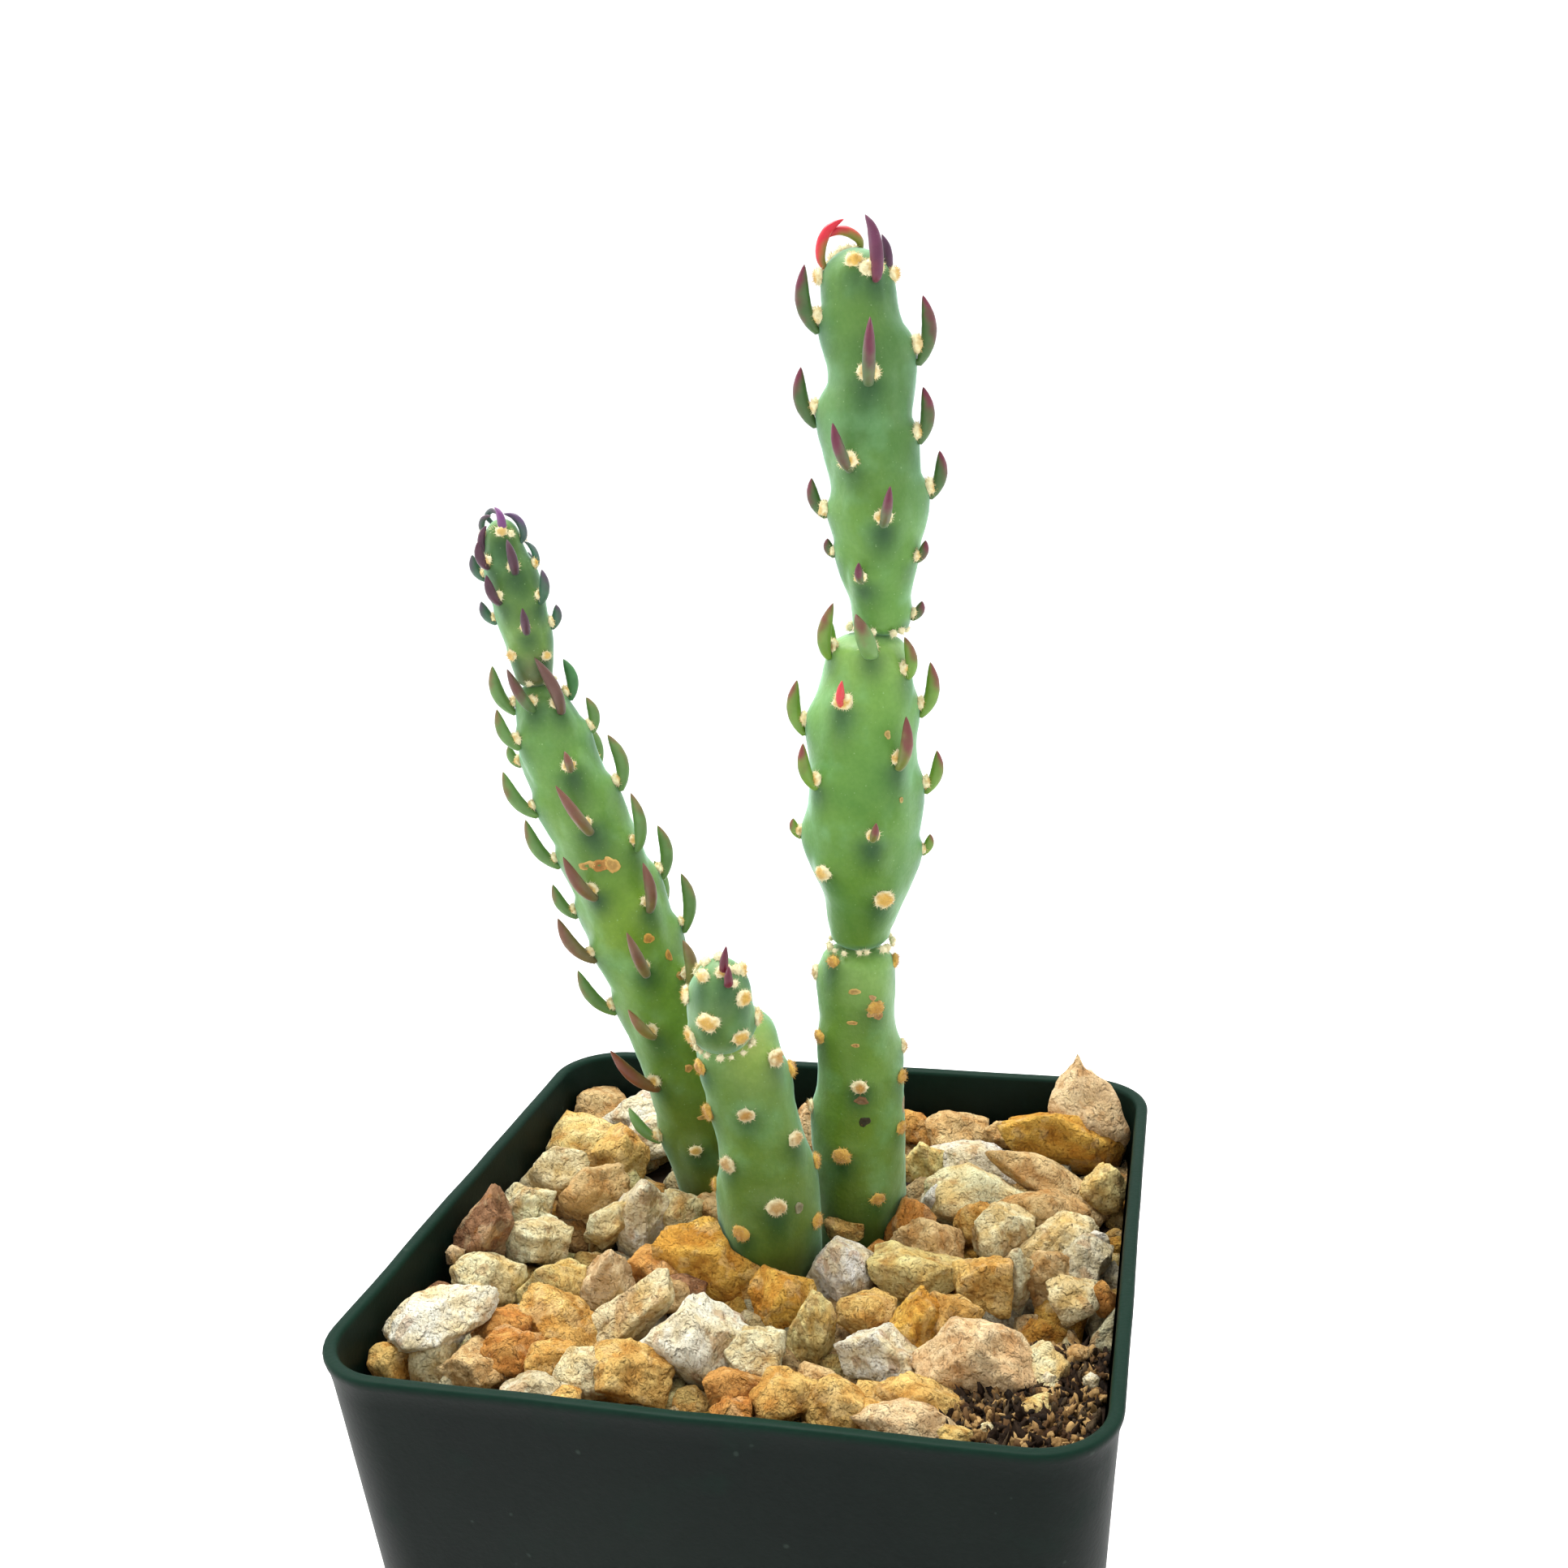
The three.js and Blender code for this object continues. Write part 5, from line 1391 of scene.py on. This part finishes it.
smallStones = [
    [-29, -13, 3, 3, "brown", 0, 0.6], [8.6, 1.6, 2.8, 2.6, "rust", 0, 0.4],
    [12.4, -22.6, 2.6, 3.2, "ochre"], [25.1, -19.8, 2.6, 1.8, "yellow", 0, 0.9],
    [19.2, -24.4, 2.4, 2, "yellow", 0, 0.4], [28, 6, 2.4, 3, "white", 0, 0.4],
    [-12.4, -24.6, 3, 2.6, "ochre"], [12, -20, 3.2, 2.8, "ochre"], [7, -18.4, 3.2, 2.8, "tan"],
    [4.5, 5.5, 3.3, 2.5, "ochre", 0, 0.4], [29.2, -4, 2.2, 3, "rust", 0, 1.0],
    [-29.2, -8, 1.6, 1.8, "pink", 0, 2.2], [28.9, -16.2, 1.5, 1.3, "white", 20, 1.1],
    [25.6, -16.6, 1.0, 0.9, "white", 0, 1.3], [21.6, -22.8, 1.2, 1.0, "cream", 10, 0.6],
    [26.4, -24.6, 0.9, 0.8, "tan", 0, 0.6], [27.6, -12.4, 1.8, 1.4, "tan", 0, 1.0],
]
stoneMesh = {"level": 55, "smallLevel": 54.6, "facets": 9, "facetStep": 2.4, "facetShift": 1.2,
             "facetNear": 0.62, "facetMore": 0.34, "chips": 6, "chipNear": 0.72, "chipMore": 0.2,
             "lean": 0.3, "farthest": 1.6, "reach": 1.45, "small": 5.7, "spread": 30, "sharp": 110,
             "swell": 1.1, "rough": 0.045, "coarse": 0.42, "fine": 0.13, "scoop": 0.1, "grit": 0.09,
             "spireTaper": 0.86, "spireSeed": 90, "smallSeed": 120, "big": 24, "nearEdge": 8,
             "clearance": 0.35}


def stoneFacets(width, draw):
    # directions and distances of a few broad facets and of smaller chips
    normals, distances = [], []
    count = stoneMesh["facets"]
    for i in range(count):
        z = 1 - (2 * i + 1) / count
        angle = i * stoneMesh["facetStep"] + draw() * stoneMesh["facetShift"]
        flat = math.sqrt(1 - z * z)
        normals.append((flat * math.cos(angle), flat * math.sin(angle), z))
        distances.append(stoneMesh["facetNear"] + stoneMesh["facetMore"] * draw())
    if width < stoneMesh["small"]:
        # small stones leave one draw out
        draw()
    turn = viewTurn + stoneMesh["spread"] * (draw() - 0.5)
    for _ in range(stoneMesh["chips"]):
        normals.append(Vector((draw() - 0.5, draw() - 0.5, draw() - 0.5)).normalized()[:])
        distances.append(stoneMesh["chipNear"] + stoneMesh["chipMore"] * draw())
    return np.array(normals), np.array(distances), turn


def stoneBody(row, seed, level, detail, taper=0.0):
    # the space inside the facets, with worn edges and a broken surface
    x, y, width, height, finish, roll, lift = [*row, 0, 0][:7]
    draw = makeRandom(seed)
    normals, distances, turn = stoneFacets(width, draw)
    rays, faces = unitBalls[detail]
    facing = np.maximum(rays @ normals.T, stoneMesh["lean"])
    weights = np.minimum(distances / facing, stoneMesh["farthest"]) ** -stoneMesh["sharp"]
    reach = weights.sum(axis=1) ** (-1 / stoneMesh["sharp"])
    shades = np.array([draw() for _ in normals])
    points = rays * np.minimum(reach, stoneMesh["reach"])[:, None]
    points[:, :2] *= (1 - taper * np.clip((points[:, 2] + 1) / 2, 0, 1))[:, None]
    low, high = points.min(axis=0), points.max(axis=0)
    extent = np.array([width, min(0.9 * width, 1.1 * height + 1, 7), height])
    points = (points - (low + high) / 2) / (high - low) * extent * stoneMesh["swell"]
    size = extent.prod() ** (1 / 3)
    rough = bumps(points, stoneMesh["coarse"] * size, 4, seed * 0.37)
    rough += 0.5 * bumps(points, stoneMesh["fine"] * size, 3, seed * 0.61)
    relief = size * (stoneMesh["rough"] * rough + stoneMesh["scoop"] * hollows(points, 0.42 * size, seed))
    relief += stoneMesh["grit"] * bumps(points, 0.6, 3, seed * 0.21)
    points += points / np.linalg.norm(points, axis=1)[:, None] * relief[:, None]
    rolled = Matrix.Rotation(math.radians(turn), 3, "Z") @ Matrix.Rotation(math.radians(roll), 3, "Y")
    points = points @ np.array(rolled).T + np.array([x, y, level + lift])
    values = stoneValues(finish, seed, len(points))
    values["worn"] = np.clip(0.5 + 0.9 * rough, 0, 1)
    values["side"] = (weights * shades).sum(axis=1) / weights.sum(axis=1)
    return keepClear(points), faces, values


def hollows(points, size, seed):
    # shallow scoops with sharp ridges between them, as where chips broke away
    shift = Vector((seed * 3.1, seed * 7.7, seed * 1.9))
    values = np.array([noise.voronoi(Vector(p) / size + shift)[0][0] for p in points])
    return values - 0.5


def stoneValues(finish, seed, count):
    draw = makeRandom(seed + 2000)
    light, dark = stoneFinishes[finish]
    tint = np.minimum(np.array(linear(light)) * (1.02 + 0.22 * draw()), 0.96)
    stain = np.array(linear(dark)) * (0.95 + 0.3 * draw())
    values = {"tint": tint, "stain": stain, "shift": [draw(), draw(), draw()]}
    return {label: np.tile(value, (count, 1)) for label, value in values.items()}


def keepClear(points):
    # moves stone points out of the stems and inside the pot's walls
    for name in ("tall_stem_lower", "left_stem_lower", "small_stem_lower"):
        joint = stemJoints[name]
        z = np.clip(points[:, 2], joint["bottom"] + 3, joint["top"] - 3)
        centre = np.stack([along(joint["spine"], z, 1), along(joint["spine"], z, 2)], axis=1)
        away = points[:, :2] - centre
        reach = np.maximum(np.linalg.norm(away, axis=1), 1e-6)
        least = along(joint["spine"], z, 3) + stoneMesh["clearance"]
        points[:, :2] = centre + away * np.where(reach < least, least / reach, 1.0)[:, None]
    return keepInside(points)


def keepInside(points, room=0.25):
    half, radius = potSize(np.clip(points[:, 2], 0, pot["height"]), -pot["wall"] - room)
    inset = (half - radius)[:, None]
    flat = np.clip(points[:, :2], -half[:, None], half[:, None])
    past = np.maximum(np.abs(flat) - inset, 0)
    corner = np.linalg.norm(past, axis=1)
    shrink = np.where(corner > radius, radius / np.maximum(corner, 1e-6), 1.0)
    points[:, :2] = np.sign(flat) * (np.minimum(np.abs(flat), inset) + past * shrink[:, None])
    return points


def makeStonePaint():
    paint = Paint("gravel_stone", roughness=0.9, specularIorLevel=0.2)
    paint.shift("shift", 0.35)
    stains = paint.mottle(220.0, detail=8.0, low=0.49, high=0.6)
    veins = paint.mottle(480.0, detail=9.0, low=0.55, high=0.62)
    chalk = paint.mottle(520.0, detail=9.0, low=0.52, high=0.62)
    pits = paint.flecks(1300.0, 0.06, 0.2)
    specks = paint.flecks(2900.0, 0.1, 0.15)
    crust = paint.mottle(1000.0, detail=8.0, low=0.3, high=0.7)
    grain = paint.mottle(3600.0, detail=6.0, low=0.3, high=0.7)
    stain = paint.attribute("stain")
    paint.color = paint.attribute("tint")
    paint.cover(stain, stains, 0.5)
    paint.cover(stain, paint.attribute("side", "Fac"), 0.25)
    paint.cover(stain, paint.attribute("worn", "Fac"), -1.0, 0.7)
    paint.cover((178, 116, 40), veins, 0.45)
    paint.cover((248, 236, 190), chalk, 0.2)
    paint.soak((0.74, 0.64, 0.48), crust, 0.3)
    paint.soak((0.7, 0.62, 0.5), grain, 0.35)
    paint.cover((120, 84, 46), pits, 0.55)
    paint.cover((96, 86, 66), specks, 0.35)
    paint.bump(crust, 1.0, 0.45)
    paint.bump(grain, 0.9, 0.14)
    paint.bump(pits, -0.7, 0.16)
    return paint.finish()


stonePaint = makeStonePaint()


def makeShownStones():
    front, back = [], []
    for index, row in enumerate(shownStones):
        near = row[1] < stoneMesh["nearEdge"]
        detail = 5 if near and row[2] * row[3] > stoneMesh["big"] else 4
        (front if near else back).append(stoneBody(row, index + 1, stoneMesh["level"], detail))
    back.append(stoneBody(spireStone, stoneMesh["spireSeed"], stoneMesh["level"], 4, stoneMesh["spireTaper"]))
    for index, row in enumerate(smallStones):
        front.append(stoneBody(row, stoneMesh["smallSeed"] + index, stoneMesh["smallLevel"], 3))
    half = len(front) // 2
    pieces = {"gravel_front": front[:half], "gravel_middle": front[half:], "gravel_back": back}
    for name, bodies in pieces.items():
        finishPiece(joinParts(name, bodies), "gravel", "gravel", material=stonePaint)


makeShownStones()
print("shown stones done")

# Smaller stones that fill the layer under the shown ones

# shade darkens the fill stones' colour: painted shade for the gaps under the shown stones
filler = {"reach": 30.0, "spacing": 3.3, "jitter": 1.6, "level": 52.0, "unevenness": 0.8, "shade": 0.55,
          "seed": 4, "stoneSeed": 300, "scatterSeed": 7, "width": 4.2, "height": 3.6, "sizes": (0.7, 1.15),
          "kinds": ["cream", "tan", "yellow", "ochre", "grey", "tan", "gold", "cream"]}
# where none lie: the bare soil, as its middle and reach, and round the feet of the stems
bareSoil = {"middle": (27, -21), "reach": (11.5, 13)}
stemFeet = {"middles": [(5.3, 9.2), (-10.2, 13), (-1.5, 0.8)], "reach": 6.2}


def makeScatterTree():
    # sets one of a few loose shapes on each point, turned and sized at random
    tree, start = makeGeometryTree("stone_scatter", [
        ("Kinds", "Collection", None), ("Smallest", "Float", 0.7), ("Largest", "Float", 1.2),
        ("Seed", "Int", 3),
    ])
    kinds = outputOf(
        tree, "GeometryNodeCollectionInfo", collection=start["Kinds"], separateChildren=True,
        resetChildren=True,
    )
    turn = randomOf(tree, "FLOAT_VECTOR", (0, 0, 0), (6.28, 6.28, 6.28), start["Seed"])
    placed = outputOf(
        tree, "GeometryNodeInstanceOnPoints", points=start["Geometry"], instance=kinds, pickInstance=True,
        rotation=outputOf(tree, "FunctionNodeEulerToRotation", euler=turn),
        scale=randomOf(tree, "FLOAT", start["Smallest"], start["Largest"], 8),
    )
    return closeTree(tree, start, placed)


scatterTree = makeScatterTree()


def scatter(name, places, bodies, sizes, seed, paint, slot):
    # loose shapes, kept in a collection of their own while the tree sets them on the places
    kinds = bpy.data.collections.new(name)
    for index, (points, faces, values) in enumerate(bodies):
        kind = makeObject(f"{name}_{index}", points, faces, **values)
        bpy.context.scene.collection.objects.unlink(kind)
        kinds.objects.link(kind)
    piece = makeObject(name, places)
    smallest, largest = sizes
    growTree(piece, scatterTree, kinds=kinds, smallest=smallest, largest=largest, seed=seed, material=paint)
    for kind in list(kinds.objects):
        bpy.data.objects.remove(kind)
    bpy.data.collections.remove(kinds)
    # the same clearance from walls and stems as the shown stones
    points = keepClear(readPoints(piece.data))
    piece.data.vertices.foreach_set("co", (points * mm).ravel())
    piece.data.update()
    finishPiece(piece, slot, slot)


def fillPlaces():
    draw = makeRandom(filler["seed"])
    count = int(filler["reach"] / filler["spacing"])
    places = []
    for row in range(-count, count + 1):
        for column in range(-count, count + 1):
            x = column * filler["spacing"] + filler["jitter"] * (draw() - 0.5)
            y = row * filler["spacing"] + filler["jitter"] * (draw() - 0.5)
            z = filler["level"] + filler["unevenness"] * (draw() - 0.5)
            (soilX, soilY), (reachX, reachY) = bareSoil["middle"], bareSoil["reach"]
            onSoil = math.hypot((x - soilX) / reachX, (y - soilY) / reachY) < 1
            nearStem = min(math.dist((x, y), middle) for middle in stemFeet["middles"]) < stemFeet["reach"]
            if not onSoil and not nearStem:
                places.append((x, y, z))
    return places


def looseStone(finish, seed):
    # a stone made about the origin, for scattering, darkened as painted shade for the gaps between the shown
    # stones
    middle = 20
    row = [middle, middle, filler["width"], filler["height"], finish]
    points, faces, values = stoneBody(row, seed, middle, 3)
    # painted shade: tint and stain are darkened so the gaps between the shown stones look shadowed
    for label in ("tint", "stain"):
        values[label] *= filler["shade"]
    return points - middle, faces, values


looseStones = [
    looseStone(finish, filler["stoneSeed"] + index) for index, finish in enumerate(filler["kinds"])
]
scatter(
    "gravel_fill", fillPlaces(), looseStones, filler["sizes"], filler["scatterSeed"], stonePaint, "gravel",
)
print("fill stones done")

# The potting soil: the body inside the pot and the crumbly heap that shows at the front right corner

soil = {"top": 51.6, "heap": (27, -21, 50.8), "reach": (12.5, 14, 4.6), "gap": 0.3, "crumbs": 2200,
        "crumbRise": 0.35, "crumbSize": 0.4, "crumbLumps": (0.7, 0.7), "crumbScales": (0.35, 1.5),
        "lowest": 51.5, "edge": 29.8, "room": 0.5, "seed": 21, "scatterSeed": 17,
        "color": (48, 36, 27), "lumps": [(2.2, 4, 6.0, 0.55), (0.7, 3, 2.0, 0.3)]}
crumbTones = [
    (44, 32, 22), (70, 50, 34), (104, 78, 50), (34, 26, 20), (150, 118, 74), (186, 152, 100), (84, 70, 52),
]


def makeSoilPaint():
    paint = Paint("potting_soil", roughness=0.95, specularIorLevel=0.15)
    lumps = paint.mottle(900.0, detail=5.0)
    bits = paint.flecks(1300.0, 0.16, 0.12)
    paint.color = paint.attribute("tone")
    paint.soak((0.4, 0.34, 0.28), lumps, 0.6)
    paint.cover((128, 98, 64), bits, 0.35)
    paint.bump(lumps, 0.8, 0.2)
    return paint.finish()


soilPaint = makeSoilPaint()


def bodyShape():
    bottom = pot["footHeight"] + pot["floor"] + soil["gap"]
    levels = (bottom, bottom + 0.5, 20, 36, soil["top"] - 0.5, soil["top"])
    rings = np.array([potPlan(z, -pot["wall"] - soil["gap"]) for z in levels])
    return loftPoints(rings), loftFaces(len(rings), len(rings[0]))


def heapShape():
    rays, faces = unitBalls[5]
    points = rays * np.array(soil["reach"])
    lumps = layeredBumps(points, soil["lumps"])
    return keepInside(points + rays * lumps[:, None] + np.array(soil["heap"]), soil["gap"]), faces


def crumbPlaces(draw):
    places = []
    while len(places) < soil["crumbs"]:
        turn = 2 * math.pi * draw()
        spread = math.sqrt(draw())
        height = math.sqrt(max(1 - spread * spread, 0))
        spot = np.array([math.cos(turn) * spread, math.sin(turn) * spread, height]) * np.array(soil["reach"])
        spot += np.array(soil["heap"]) + np.array([0, 0, soil["crumbRise"] * draw()])
        if spot[2] > soil["lowest"] and max(abs(spot[0]), abs(spot[1])) < soil["edge"]:
            places.append(spot)
    return keepInside(np.array(places), soil["room"])


def looseCrumb(tone, seed, draw):
    rays, faces = unitBalls[2]
    stretch = np.array([1 + 1.2 * draw(), 0.5 + 0.4 * draw(), 0.35 + 0.35 * draw()])
    points = lumpy(rays, *soil["crumbLumps"], seed) * stretch * soil["crumbSize"]
    return points, faces, {"tone": tiled(tone, len(points))}


def makeSoil():
    for name, (points, faces) in (("soil_body", bodyShape()), ("soil_heap", heapShape())):
        piece = makeObject(name, points, faces, tone=tiled(soil["color"], len(points)))
        finishPiece(piece, "soil", "soil", material=soilPaint)
    draw = makeRandom(soil["seed"])
    places = crumbPlaces(draw)
    crumbs = [looseCrumb(tone, index + 1.5, draw) for index, tone in enumerate(crumbTones)]
    scatter("soil_crumbs", places, crumbs, soil["crumbScales"], soil["scatterSeed"], soilPaint, "soil")


makeSoil()
print("soil done")

bpy.context.view_layer.update()
